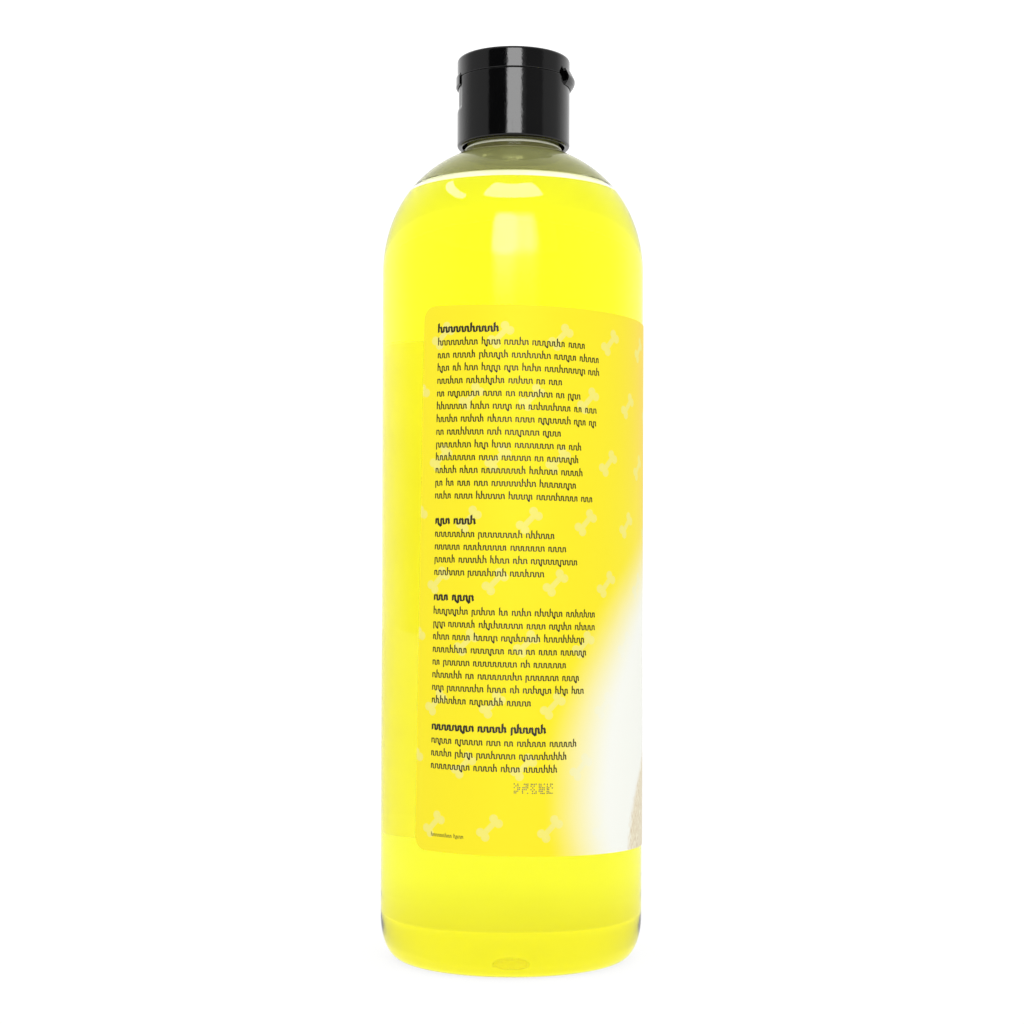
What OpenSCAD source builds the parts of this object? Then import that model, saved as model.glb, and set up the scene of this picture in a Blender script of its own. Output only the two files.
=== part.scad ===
// Filled 500 ml shampoo bottle with a threaded flip-top cap.
// Millimetres, +Z up. The origin is the centre of the base, on the surface that the bottle stands on.
// The lid's hinge is on the +X side and its thumb lip on the -X side.

/* [Bottle body] */
// Outer radius of the straight wall
body_r = 31; // [28:0.5:34]
// Height at which the wall turns into the shoulder
shoulder_z = 161.4; // [140:0.1:165]
// Height of the shoulder's full curve, were it closed at the top
shoulder_h = 31.1; // [28:0.1:34]
// Exponent of the shoulder's curve, where 2 is an ellipse
shoulder_power = 2.14; // [2:0.01:2.4]
// Radial size of the rounded heel
heel_w = 4.7; // [3:0.1:6]
// Height of the rounded heel
heel_h = 9.7; // [6:0.1:12]
// Wall thickness of the body
wall = 0.6; // [0.4:0.05:1]
// Outer radius of the pushed-up middle of the base
push_up_r = 16; // [12:0.5:20]
// Height of the push-up at its centre
push_up_h = 2.6; // [1:0.1:4]
// Diameter of the moulding gate mark in the middle of the base
gate_d = 3; // [2:0.5:5]

/* [Neck] */
// Outer radius of the neck at the thread's root
neck_r = 10.9; // [10.5:0.05:11.1]
// Radius of the neck's bore
bore_r = 9.3; // [8.8:0.1:9.6]
// Height of the neck's top land
neck_top = 205.8; // [205:0.1:206]
// Radius of the round bead at the foot of the neck
bead_r = 11.6; // [11.3:0.05:11.8]

/* [Screw thread] */
// Rise of the thread in one turn, 8 threads per inch
pitch = 3.175; // [3.175]
// Outer radius of the neck's thread
thread_r = 11.9; // [11.7:0.05:11.95]
// Width of the neck's thread at its root
thread_w = 2.2; // [1.8:0.1:2.3]
// Turns of thread on the neck
neck_turns = 1.5; // [1.25:0.25:1.75]
// Turns of thread in the cap
cap_turns = 1.25; // [1:0.25:1.5]
// Smallest radius of the cap's thread
cap_thread_r = 11.2; // [11.15:0.05:11.4]
// Width of the cap's thread at its root
cap_thread_w = 1.6; // [1.2:0.1:1.7]

/* [Cap] */
// Outer radius of the cap
cap_r = 13.4; // [13.3:0.1:14]
// Inner radius of the cap's skirt
skirt_r = 12.15; // [12.1:0.05:12.3]
// Height of the skirt's lower rim
cap_bottom = 192.1; // [192:0.1:193]
// Height of the line where the lid meets the base
parting_z = 208.1; // [208:0.1:208.5]
// Height of the top of the lid
cap_top = 213.1; // [212.5:0.1:214]
// Thickness of the lid's top and side
lid_wall = 1.2; // [1:0.1:1.4]
// Radius of the rounded edges of the cap
cap_edge = 0.8; // [0.4:0.1:1]
// Radius of the pouring orifice
orifice_r = 1.5; // [1.2:0.1:2]
// Clearance round the pin that stops the orifice
pin_gap = 0.15; // [0.12:0.01:0.25]

/* [Hinge and thumb grip] */
// Half of the angle that the hinge film takes up round the cap
hinge_half = 27; // [20:1:29]
// Distance of the lid's turning axis from the bottle's axis
hinge_x = 13.7; // [13.6:0.05:13.9]
// Thickness of the hinge film
film_t = 0.35; // [0.3:0.05:0.5]
// How far the folded hinge film stands out from the cap
fold_out = 1.2; // [0.9:0.1:1.4]
// Angle from the hinge to the middle of each teardrop window
window_angle = 32; // [31:1:36]
// Width of a teardrop window
window_w = 2.2; // [1.6:0.1:2.6]
// Half of the angle of the thumb grip
grip_half = 24; // [16:1:30]
// Depth of the thumb recess in the cap's base
grip_depth = 0.4; // [0.4:0.1:0.8]

/* [Label and contents] */
// Height of the fill level
fill_z = 181.4; // [150:0.1:183]
// Height of the label
label_h = 122.5; // [100:0.5:125]
// Height of the label's first lower corner
label_z = 28.3; // [25:0.1:32]
// Angle from -Y towards +X of the label's first lower corner
label_start = -44.4; // [-50:0.1:-30]
// Angle that the label takes up round the bottle
label_arc = 276; // [200:1:320]
// How much the label is turned on the wall, its later end lower and its ends leaning over
label_tilt = 1.15; // [0:0.05:1.5]
// Thickness of the label film
label_t = 0.1; // [0.08:0.01:0.15]
// Radius of the label's corners
label_corner = 3; // [2:0.5:5]

/* [Hidden] */

// Gap left between faces that only touch, so that no two solids share a skin
touch = 0.02;
// Overlap that joins the parts of one solid
bite = 0.3;
// Height of the shoulder where it meets the neck's bead
neck_z = shoulder_z + shoulder_h * pow(1 - pow(bead_r / body_r, shoulder_power), 1 / shoulder_power);
bead_top = neck_z + 1.1;
// Middle heights of the upper end of each thread
neck_thread_top = neck_top - 2;
cap_thread_top = neck_thread_top - pitch / 2 - pitch / 4;
// Depth of each thread's root below the wall that carries it
thread_root = 0.35;
// Liner, deck, plug seal and spout
liner_t = 1;
liner_r = 12;
deck_z = neck_top + liner_t + touch;
plug_r = bore_r - 0.2;
plug_wall = 0.9;
plug_h = 2.6;
spout_r = 3.2;
spout_top = parting_z + 1.7;
lid_z = parting_z + 0.1;
lid_ceiling = cap_top - lid_wall;
pin_r = orifice_r - pin_gap;
pin_tip = parting_z + 0.2;
// Thumb lip of the lid, and the recess below it in the base
lip_bottom = parting_z - 1.9;
lip_top = parting_z + 0.5;
lip_out = 0.3;
recess_bottom = cap_bottom + 8;
// Fold of the hinge film
fold_bottom = parting_z - 2.2;
fold_top = parting_z + 1.7;
window_low = parting_z - 0.6;
window_high = parting_z + 2;
curve_steps = 20;
round_fn = 96;

// Points of the shoulder's outline, inset by d, from the wall up to radius r_end
function shoulder(d, r_end) = [for (i = [0:curve_steps])
    let (r_start = body_r - d,
         h = shoulder_h - d,
         last = acos(pow((r_end) / r_start, shoulder_power / 2)),
         a = last * i / curve_steps)
    [r_start * pow(cos(a), 2 / shoulder_power), shoulder_z + h * pow(sin(a), 2 / shoulder_power)]];

// Points of the base and heel, inset by d, from the axis out to the wall
function push_up(d) = [for (i = [0:6])
    let (r = push_up_r * i / 6)
    [r, d + push_up_h * (1 + cos(180 * i / 6)) / 2]];
function heel(d) = [for (a = [0:15:90])
    [body_r - heel_w + (heel_w - d) * sin(a), d + (heel_h - d) * (1 - cos(a))]];

// Faces of a closed band of four-point sections, numbered from 0 to last, going round counterclockwise.
// Each section lists its inner low, outer low, outer high and inner high points.
function band_faces(last) = concat(
    [[2, 1, 0], [3, 2, 0]],
    [for (i = [0:last - 1], k = [0:3])
        let (a = 4 * i + k, b = 4 * i + (k + 1) % 4)
        each k == 1 ? [[a, b, a + 4], [b, b + 4, a + 4]] : [[a, b, b + 4], [a, b + 4, a + 4]]],
    [[4 * last, 4 * last + 1, 4 * last + 2], [4 * last, 4 * last + 2, 4 * last + 3]]);

// One turn-by-turn thread ridge. It faces outwards for side 1 and inwards for side -1.
module thread(root_r, crest_r, root_w, turns, top, side) {
    steps = 32;
    count = round(turns * steps);
    crest_w = root_w * 0.45;
    depth = abs(crest_r - root_r);
    fade = 5;
    points = [for (i = [0:count])
        let (a = 360 * i / steps,
             full = min(1, 0.04 + min(i, count - i) / fade),
             r0 = root_r - side * thread_root,
             r1 = root_r + side * (depth * full),
             z = top - turns * pitch + pitch * i / steps,
             w0 = root_w / 2,
             w1 = crest_w / 2)
        each [[r0 * cos(a), r0 * sin(a), z - w0],
              [r1 * cos(a), r1 * sin(a), z - w1],
              [r1 * cos(a), r1 * sin(a), z + w1],
              [r0 * cos(a), r0 * sin(a), z + w0]]];
    faces = [for (f = band_faces(count)) side > 0 ? f : [f[2], f[1], f[0]]];
    polyhedron(points, faces);
}

// A pie slice about the cap's axis, centred on an angle from +X, tall enough for any cap piece
module sector(middle, half, r, z0, z1) {
    steps = 6;
    rim = [for (i = [0:steps]) let (a = middle - half + 2 * half * i / steps) [r * cos(a), r * sin(a)]];
    translate([0, 0, z0]) linear_extrude(z1 - z0) polygon(concat([[0, 0]], rim));
}

module bottle() {
    outer = concat(push_up(0), heel(0), shoulder(0, bead_r));
    inner = concat(push_up(wall * 2), heel(wall), shoulder(wall, bore_r));
    bead = [[bead_r, neck_z], [bead_r, bead_top - 0.4], [bead_r - 0.4, bead_top], [neck_r, bead_top + 0.2]];
    land = [[neck_r, neck_top - 0.3], [neck_r - 0.3, neck_top], [bore_r, neck_top]];
    inside = [for (i = [len(inner) - 1:-1:0]) inner[i]];
    color([0.93, 0.95, 0.86, 0.45]) union() {
        rotate_extrude($fn = round_fn) polygon(concat(outer, bead, land, inside));
        thread(neck_r, thread_r, thread_w, neck_turns, neck_thread_top, 1);
        translate([0, 0, push_up_h - 0.5]) cylinder(d = gate_d, h = 0.8, $fn = round_fn);
    }
}

module shampoo() {
    gap = wall + touch;
    level_r = (body_r - gap) * pow(1 - pow((fill_z - shoulder_z) / (shoulder_h - gap), shoulder_power),
                                   1 / shoulder_power);
    outline = concat(push_up(wall * 2 + touch), heel(gap), shoulder(gap, level_r), [[0, fill_z]]);
    color([0.98, 0.95, 0.05, 0.85]) rotate_extrude($fn = round_fn) polygon(outline);
}

module wrap_label() {
    inner_r = body_r + 0.03;
    outer_r = inner_r + label_t;
    width = label_arc * PI / 180 * inner_r;
    corner_steps = 5;
    // Angle from +X of a point u along the label and v above its lower edge
    function wall_angle(u, v) = label_start - 90 + (u + v * sin(label_tilt)) / inner_r * 180 / PI;
    // Distances along the label, closer together in the rounded corners
    edge = [for (i = [0:corner_steps - 1]) label_corner * (1 - cos(90 * i / corner_steps))];
    middle_count = ceil((label_arc - 10) / 3);
    middle = [for (i = [0:middle_count]) label_corner + (width - 2 * label_corner) * i / middle_count];
    far_edge = [for (i = [corner_steps - 1:-1:0]) width - edge[i]];
    along = concat(edge, middle, far_edge);
    points = [for (u = along)
        let (reach = max(0, label_corner - min(u, width - u)),
             cut = label_corner - sqrt(label_corner * label_corner - reach * reach),
             z = label_z - u * sin(label_tilt),
             a = wall_angle(u, cut),
             b = wall_angle(u, label_h - cut),
             low = z + cut,
             high = z + label_h - cut)
        each [[inner_r * cos(a), inner_r * sin(a), low], [outer_r * cos(a), outer_r * sin(a), low],
              [outer_r * cos(b), outer_r * sin(b), high], [inner_r * cos(b), inner_r * sin(b), high]]];
    color([1, 0.93, 0.3]) polyhedron(points, band_faces(len(along) - 1));
}

module seal_liner() {
    color([0.95, 0.95, 0.93]) translate([0, 0, neck_top + touch / 2]) difference() {
        cylinder(r = liner_r, h = liner_t, $fn = round_fn);
        translate([0, 0, -1]) cylinder(r = plug_r + 0.15, h = liner_t + 2, $fn = round_fn);
    }
}

// Teardrop window, its point upwards, cut through the cap's wall beside the hinge
module window(side) {
    steps = 16;
    drop = [for (i = [0:steps])
        let (a = 180 + 180 * i / steps)
        [window_w / 2 * cos(a), window_low + window_w / 2 + window_w / 2 * sin(a)]];
    rotate([0, 0, side * window_angle]) translate([skirt_r - 1.4, 0, 0]) rotate([90, 0, 90])
        linear_extrude(4) polygon(concat(drop, [[0, window_high]]));
}

module cap_base() {
    shell = [[skirt_r, cap_bottom], [cap_r - 0.3, cap_bottom], [cap_r, cap_bottom + 0.3],
             [cap_r, parting_z - 0.2], [cap_r - 0.2, parting_z], [spout_r + 0.6, parting_z],
             [spout_r, parting_z + 0.6], [spout_r, spout_top - 0.4], [spout_r - 0.4, spout_top],
             [orifice_r + 0.3, spout_top], [orifice_r, spout_top - 0.3], [orifice_r, deck_z + 0.8],
             [orifice_r + 1.6, deck_z], [plug_r - plug_wall, deck_z], [plug_r - plug_wall, deck_z - plug_h],
             [plug_r - 0.3, deck_z - plug_h], [plug_r, deck_z - plug_h + 0.6], [plug_r, deck_z],
             [skirt_r, deck_z]];
    color([0.06, 0.06, 0.065]) difference() {
        union() {
            rotate_extrude($fn = round_fn) polygon(shell);
            thread(skirt_r, cap_thread_r, cap_thread_w, cap_turns, cap_thread_top, -1);
        }
        // Thumb recess below the lid's lip
        difference() {
            sector(180, grip_half, cap_r + 2, recess_bottom, parting_z + 1);
            cylinder(r = cap_r - grip_depth, h = cap_top, $fn = round_fn);
        }
        for (side = [-1, 1]) window(side);
    }
}

module cap_lid() {
    shell = [[0, lid_ceiling], [cap_r - lid_wall, lid_ceiling], [cap_r - lid_wall, lid_z],
             [cap_r - 0.2, lid_z], [cap_r, lid_z + 0.2],
             each [for (a = [0:15:90])
                 [cap_r - cap_edge + cap_edge * cos(a), cap_top - cap_edge + cap_edge * sin(a)]],
             [0, cap_top]];
    pin = [[0, pin_tip], [pin_r - 0.35, pin_tip], [pin_r, pin_tip + 0.5], [pin_r, spout_top + 0.3],
           [pin_r + 0.4, lid_ceiling + bite], [0, lid_ceiling + bite]];
    lip_inner = cap_r - grip_depth + 0.15;
    lip = [[lip_inner, lip_bottom], [cap_r + lip_out - 0.2, lip_bottom], [cap_r + lip_out, lip_bottom + 0.2],
           [cap_r + lip_out, lip_top - 0.3], [cap_r - bite, lip_top + 0.4], [cap_r - lid_wall + 0.1, lid_z + 0.2],
           [lip_inner, lid_z]];
    color([0.06, 0.06, 0.065]) difference() {
        union() {
            rotate_extrude($fn = round_fn) polygon(shell);
            rotate_extrude($fn = round_fn) polygon(pin);
            intersection() {
                rotate_extrude($fn = round_fn) polygon(lip);
                sector(180, grip_half - 3, cap_r + 2, lip_bottom - 1, lip_top + 1);
            }
        }
        for (side = [-1, 1]) window(side);
    }
}

// Film that joins the base to the lid, folded outwards in a narrow loop while the lid is shut
module hinge_strap() {
    reach = cap_r + fold_out;
    foot = cap_r + touch;
    out = [[foot, fold_bottom], [foot + 0.3, fold_bottom], [reach, parting_z - 0.9], [reach, parting_z + 0.1],
           [foot + 0.3, fold_top], [foot, fold_top]];
    loop = [[foot, fold_bottom + 0.9], [foot + 0.35, fold_bottom + 0.9], [reach - film_t, parting_z - 0.7],
            [reach - film_t, parting_z - 0.1], [foot + 0.35, fold_top - 0.7], [foot, fold_top - 0.7]];
    color([0.06, 0.06, 0.065]) intersection() {
        rotate_extrude($fn = round_fn) difference() {
            polygon(out);
            polygon(loop);
        }
        sector(0, hinge_half, reach + 2, fold_bottom - 1, fold_top + 1);
    }
}

bottle();
shampoo();
wrap_label();
seal_liner();
cap_base();
cap_lid();
hinge_strap();
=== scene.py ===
"""Looks of a filled shampoo bottle with a flip-top cap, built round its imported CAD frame.

Each sub-assembly is a class with its sizes as fields in millimetres. Meshes come out in metres,
in the row frame: +Z up, the lid's hinge towards +X, the bottle standing on z = 0.
"""

from __future__ import annotations

import logging
import math
import random
from dataclasses import dataclass, field
from enum import Enum
from typing import Callable, Iterable, Optional, Sequence, Union

import bmesh
import bpy
from mathutils import Matrix, Vector

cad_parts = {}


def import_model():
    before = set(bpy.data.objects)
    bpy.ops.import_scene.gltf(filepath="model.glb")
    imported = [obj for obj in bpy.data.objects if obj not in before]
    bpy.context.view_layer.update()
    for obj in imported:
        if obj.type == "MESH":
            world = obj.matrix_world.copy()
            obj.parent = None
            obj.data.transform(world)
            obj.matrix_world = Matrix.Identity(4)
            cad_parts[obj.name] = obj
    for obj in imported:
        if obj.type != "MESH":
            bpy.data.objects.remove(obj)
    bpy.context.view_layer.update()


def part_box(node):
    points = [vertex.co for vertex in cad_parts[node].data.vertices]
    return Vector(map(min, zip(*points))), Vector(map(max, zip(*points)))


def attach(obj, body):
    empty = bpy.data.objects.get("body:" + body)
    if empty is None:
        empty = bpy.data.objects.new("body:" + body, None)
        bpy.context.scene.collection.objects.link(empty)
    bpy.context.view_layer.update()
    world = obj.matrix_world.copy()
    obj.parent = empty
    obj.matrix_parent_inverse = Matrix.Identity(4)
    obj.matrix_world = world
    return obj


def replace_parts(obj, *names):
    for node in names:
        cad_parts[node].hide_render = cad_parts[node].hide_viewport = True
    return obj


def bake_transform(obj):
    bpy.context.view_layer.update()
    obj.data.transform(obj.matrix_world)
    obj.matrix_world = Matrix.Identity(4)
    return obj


LOG = logging.getLogger("shampoo_bottle")
MM = 0.001
TURN = math.tau
SEGMENTS = 192
TOUCH = 0.02
GUARD = 0.25
GUARD_ROOM = 2.5
MERGE = 1e-7

Point = tuple[float, float]
Colour = tuple[float, float, float]
Number = Union[float, "Wire"]


class Body(str, Enum):
    """The bodies of the frame that pieces ride on."""

    BOTTLE = "bottle"
    LINER = "liner"
    CAP = "cap"
    LID = "lid"


# ---------------------------------------------------------------- profiles and meshes


def fillet(corners: Sequence[tuple[float, float, float]], steps: int = 5) -> list[Point]:
    """Rounds the corners of an open outline, with a point beside each arc to keep its shading short.

    Args:
        corners: (radius from the axis, height, fillet radius) of each corner in turn.
        steps: straight pieces in each rounded corner.

    Returns:
        The outline's points, with an arc in place of each corner that has a fillet radius.
    """
    points: list[Point] = []
    for index, (x, y, radius) in enumerate(corners):
        if radius <= 0 or index in (0, len(corners) - 1):
            points.append((x, y))
            continue
        here = Vector((x, y))
        back = (Vector(corners[index - 1][:2]) - here).normalized()
        on = (Vector(corners[index + 1][:2]) - here).normalized()
        half = back.angle(on) / 2
        reach = radius / math.tan(half)
        centre = here + (back + on).normalized() * (radius / math.sin(half))
        start, end = here + back * reach - centre, here + on * reach - centre
        sweep = start.angle_signed(end)
        guard = GUARD * reach
        if (Vector(corners[index - 1][:2]) - here).length > GUARD_ROOM * reach:
            points.append(tuple(centre + start + back * guard))
        for step in range(steps + 1):
            arm = Matrix.Rotation(-sweep * step / steps, 2) @ start
            points.append(tuple(centre + arm))
        if (Vector(corners[index + 1][:2]) - here).length > GUARD_ROOM * reach:
            points.append(tuple(centre + end + on * guard))
    return points


def new_object(name: str, bm: bmesh.types.BMesh, smooth_angle: float = 35.0) -> bpy.types.Object:
    """Turns a bmesh into a smooth-shaded object at the origin.

    Args:
        name: the piece's name.
        bm: the finished bmesh, in metres, which is freed.
        smooth_angle: edges sharper than this, in degrees, stay crisp.

    Returns:
        The new object, linked to the scene.
    """
    mesh = bpy.data.meshes.new(name)
    bm.to_mesh(mesh)
    bm.free()
    mesh.shade_smooth()
    mesh.set_sharp_from_angle(angle=math.radians(smooth_angle))
    piece = bpy.data.objects.new(name, mesh)
    bpy.context.collection.objects.link(piece)
    return piece


def spin_outline(
    bm: bmesh.types.BMesh,
    outline: Sequence[Point],
    closed: bool = False,
    start: float = 0.0,
    sweep: float = TURN,
    steps: int = SEGMENTS,
    rise: float = 0.0,
) -> list[bmesh.types.BMVert]:
    """Spins an outline about +Z and adds the surface to a bmesh.

    Args:
        bm: the bmesh to add to, in metres.
        outline: (radius, height) points in millimetres.
        closed: joins the last point to the first.
        start: angle from +X at which the spin starts, in radians.
        sweep: angle of the spin, in radians.
        steps: facets in the spin.
        rise: height gained over the whole spin, in millimetres, for a helix.

    Returns:
        The new vertices.
    """
    before = set(bm.verts)
    turn = Matrix.Rotation(start, 3, "Z")
    verts = [bm.verts.new(turn @ Vector((r * MM, 0, z * MM))) for r, z in outline]
    pairs = list(zip(verts, verts[1:]))
    if closed:
        pairs.append((verts[-1], verts[0]))
    edges = [bm.edges.new(pair) for pair in pairs]
    whole = abs(abs(sweep) - TURN) < 1e-6 and rise == 0
    bmesh.ops.spin(
        bm,
        geom=verts + edges,
        cent=(0, 0, 0),
        axis=(0, 0, 1),
        dvec=(0, 0, rise * MM / steps),
        angle=sweep,
        steps=steps,
        use_merge=whole,
    )
    made = [v for v in bm.verts if v not in before]
    if not whole:
        rims = [e for v in made for e in v.link_edges if e.is_boundary]
        bmesh.ops.holes_fill(bm, edges=list(set(rims)), sides=0)
    return made


def close_up(bm: bmesh.types.BMesh) -> None:
    """Merges doubled points at seams and poles, then points every face outwards."""
    bmesh.ops.remove_doubles(bm, verts=bm.verts, dist=MERGE)
    bmesh.ops.recalc_face_normals(bm, faces=bm.faces)


def carve(piece: bpy.types.Object, cutter: bpy.types.Object) -> None:
    """Cuts one mesh out of another and removes the cutter.

    Args:
        piece: the object that is cut.
        cutter: the object whose shape is taken away.
    """
    modifier = piece.modifiers.new("cut", "BOOLEAN")
    modifier.object = cutter
    modifier.operation = "DIFFERENCE"
    modifier.solver = "EXACT"
    graph = bpy.context.evaluated_depsgraph_get()
    cut = bpy.data.meshes.new_from_object(piece.evaluated_get(graph))
    piece.modifiers.clear()
    old = piece.data
    piece.data = cut
    bpy.data.meshes.remove(old)
    bpy.data.objects.remove(cutter)


# ---------------------------------------------------------------- shader graphs


@dataclass
class Wire:
    """One output of a shader graph, with arithmetic that adds Math nodes."""

    graph: "Graph"
    socket: bpy.types.NodeSocket

    def __add__(self, other: Number) -> "Wire":
        """Adds."""
        return self.graph.math("ADD", self, other)

    def __radd__(self, other: Number) -> "Wire":
        """Adds, with the number first."""
        return self.graph.math("ADD", other, self)

    def __sub__(self, other: Number) -> "Wire":
        """Subtracts."""
        return self.graph.math("SUBTRACT", self, other)

    def __rsub__(self, other: Number) -> "Wire":
        """Subtracts from a number."""
        return self.graph.math("SUBTRACT", other, self)

    def __mul__(self, other: Number) -> "Wire":
        """Multiplies."""
        return self.graph.math("MULTIPLY", self, other)

    def __rmul__(self, other: Number) -> "Wire":
        """Multiplies, with the number first."""
        return self.graph.math("MULTIPLY", other, self)

    def __abs__(self) -> "Wire":
        """Absolute value."""
        return self.graph.math("ABSOLUTE", self, 0.0)

    def least(self, other: Number) -> "Wire":
        """The smaller of two."""
        return self.graph.math("MINIMUM", self, other)

    def most(self, other: Number) -> "Wire":
        """The larger of two."""
        return self.graph.math("MAXIMUM", self, other)

    def repeat(self, period: float) -> "Wire":
        """Wraps to the range from -period / 2 to period / 2."""
        return self.graph.math("WRAP", self, period / 2, -period / 2)

    def ramp(self, low: float, high: float) -> "Wire":
        """Rises smoothly from 0 at low to 1 at high, or falls if low is the larger.

        Args:
            low: the value that gives 0.
            high: the value that gives 1.

        Returns:
            The ramp's wire.
        """
        node = self.graph.add("ShaderNodeMapRange", interpolation_type="SMOOTHSTEP")
        self.graph.feed(node.inputs["Value"], self)
        low_end, high_end = (low, high) if low < high else (high, low)
        node.inputs["From Min"].default_value = low_end
        node.inputs["From Max"].default_value = high_end
        node.inputs["To Min"].default_value = 0.0 if low < high else 1.0
        node.inputs["To Max"].default_value = 1.0 if low < high else 0.0
        return Wire(self.graph, node.outputs["Result"])


class Graph:
    """A material's node tree, built up by named calls."""

    def __init__(self, name: str) -> None:
        """Makes an empty material with an output node.

        Args:
            name: the material's name.
        """
        self.material = bpy.data.materials.new(name)
        self.material.use_nodes = True
        self.tree = self.material.node_tree
        self.tree.nodes.clear()
        self.output = self.add("ShaderNodeOutputMaterial")

    def add(self, kind: str, **settings: object) -> bpy.types.Node:
        """Adds a node of a kind and sets its attributes.

        Args:
            kind: the node's type.
            settings: attributes of the node.

        Returns:
            The node.
        """
        node = self.tree.nodes.new(kind)
        for key, value in settings.items():
            setattr(node, key, value)
        return node

    def feed(self, socket: bpy.types.NodeSocket, value: object) -> None:
        """Links a wire to a socket, or sets the socket to a plain value.

        Args:
            socket: the input to fill.
            value: a wire, a number or a tuple.
        """
        if isinstance(value, Wire):
            self.tree.links.new(value.socket, socket)
        else:
            socket.default_value = value

    def math(self, operation: str, *values: Number) -> Wire:
        """Adds a Math node.

        Args:
            operation: the node's operation.
            values: its inputs in turn.

        Returns:
            The result's wire.
        """
        node = self.add("ShaderNodeMath", operation=operation)
        for socket, value in zip(node.inputs, values):
            self.feed(socket, value)
        return Wire(self, node.outputs[0])

    def length(self, x: Number, y: Number) -> Wire:
        """The distance of a point from the origin."""
        return self.math("POWER", x * x + y * y, 0.5)

    def colour(self, factor: Number, low: object, high: object) -> Wire:
        """Mixes two colours, each a wire or a linear (r, g, b).

        Args:
            factor: share of the second colour.
            low: the first colour.
            high: the second colour.

        Returns:
            The mixed colour's wire.
        """
        node = self.add("ShaderNodeMix", data_type="RGBA")
        self.feed(node.inputs["Factor"], factor)
        for key, value in (("A", low), ("B", high)):
            socket = next(s for s in node.inputs if s.name == key and s.type == "RGBA")
            self.feed(socket, value if isinstance(value, Wire) else (*value, 1.0))
        return Wire(self, next(s for s in node.outputs if s.type == "RGBA"))

    def blend(self, factor: Number, low: Number, high: Number) -> Wire:
        """Mixes two numbers.

        Args:
            factor: share of the second number.
            low: the first number.
            high: the second number.

        Returns:
            The mixed number's wire.
        """
        node = self.add("ShaderNodeMix", data_type="FLOAT")
        self.feed(node.inputs["Factor"], factor)
        for key, value in (("A", low), ("B", high)):
            self.feed(next(s for s in node.inputs if s.name == key and s.type == "VALUE"), value)
        return Wire(self, next(s for s in node.outputs if s.type == "VALUE"))

    def object_point(self) -> Wire:
        """The point on the piece, in metres."""
        return Wire(self, self.add("ShaderNodeTexCoord").outputs["Object"])

    def uv_point(self) -> Wire:
        """The point on the piece's own UV map."""
        return Wire(self, self.add("ShaderNodeTexCoord").outputs["UV"])

    def split(self, point: Wire, scale: float = 1.0) -> tuple[Wire, Wire, Wire]:
        """The three parts of a point, each times a scale.

        Args:
            point: the point to take apart.
            scale: what each part is multiplied by.

        Returns:
            The wires of x, y and z.
        """
        node = self.add("ShaderNodeSeparateXYZ")
        self.feed(node.inputs[0], point)
        parts = [Wire(self, out) for out in node.outputs]
        return tuple(p * scale for p in parts) if scale != 1.0 else tuple(parts)

    def stretched(self, point: Wire, scale: Sequence[float]) -> Wire:
        """A point with each axis scaled, for a streaky pattern.

        Args:
            point: the point to scale.
            scale: the scale of each axis.

        Returns:
            The scaled point's wire.
        """
        node = self.add("ShaderNodeMapping")
        self.feed(node.inputs["Vector"], point)
        node.inputs["Scale"].default_value = scale
        return Wire(self, node.outputs[0])

    def noise(self, point: Wire, scale: float, detail: float = 3.0, rough: float = 0.5) -> Wire:
        """Smooth noise from 0 to 1, with scale in cells a metre.

        Args:
            point: where the noise is read.
            scale: cells a metre.
            detail: how many finer layers it has.
            rough: how strong the finer layers are.

        Returns:
            The noise's wire.
        """
        node = self.add("ShaderNodeTexNoise")
        self.feed(node.inputs["Vector"], point)
        node.inputs["Scale"].default_value = scale
        node.inputs["Detail"].default_value = detail
        node.inputs["Roughness"].default_value = rough
        return Wire(self, node.outputs[0])

    def cells(self, point: Wire, scale: float) -> Wire:
        """Distance to the nearest of scattered points, with scale in cells a metre.

        Args:
            point: where the pattern is read.
            scale: cells a metre.

        Returns:
            The distance's wire.
        """
        node = self.add("ShaderNodeTexVoronoi")
        self.feed(node.inputs["Vector"], point)
        node.inputs["Scale"].default_value = scale
        return Wire(self, node.outputs["Distance"])

    def bump(self, height: Wire, distance: float, strength: float = 1.0) -> Wire:
        """A normal from a height, with distance in metres.

        Args:
            height: the height to follow.
            distance: metres for a height of 1.
            strength: share of the bump that shows.

        Returns:
            The normal's wire.
        """
        node = self.add("ShaderNodeBump")
        self.feed(node.inputs["Height"], height)
        node.inputs["Distance"].default_value = distance
        node.inputs["Strength"].default_value = strength
        return Wire(self, node.outputs[0])

    def surface(self, **values: object) -> bpy.types.Node:
        """Adds the Principled shader, sets its sockets by name and links it to the output.

        Args:
            values: socket names, with _ for each space, and what they are set to.

        Returns:
            The shader's node.
        """
        node = self.add("ShaderNodeBsdfPrincipled")
        for key, value in values.items():
            socket = node.inputs[key.replace("_", " ")]
            if not isinstance(value, Wire) and socket.type == "RGBA":
                value = (*value, 1.0)
            self.feed(socket, value)
        self.tree.links.new(node.outputs[0], self.output.inputs["Surface"])
        return node


class WorldGraph(Graph):
    """A world's node tree, built by the same calls."""

    def __init__(self, name: str) -> None:
        """Makes a world with an output node and puts it in the scene.

        Args:
            name: the world's name.
        """
        world = bpy.data.worlds.new(name)
        bpy.context.scene.world = world
        world.use_nodes = True
        self.tree = world.node_tree
        self.tree.nodes.clear()
        self.output = self.add("ShaderNodeOutputWorld")

    def background(self, level: Wire) -> None:
        """Adds a white background of a brightness.

        Args:
            level: the brightness.
        """
        shade = self.add("ShaderNodeBackground")
        shade.inputs["Color"].default_value = (1.0, 1.0, 1.0, 1.0)
        self.feed(shade.inputs["Strength"], level)
        self.tree.links.new(shade.outputs[0], self.output.inputs["Surface"])


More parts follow.
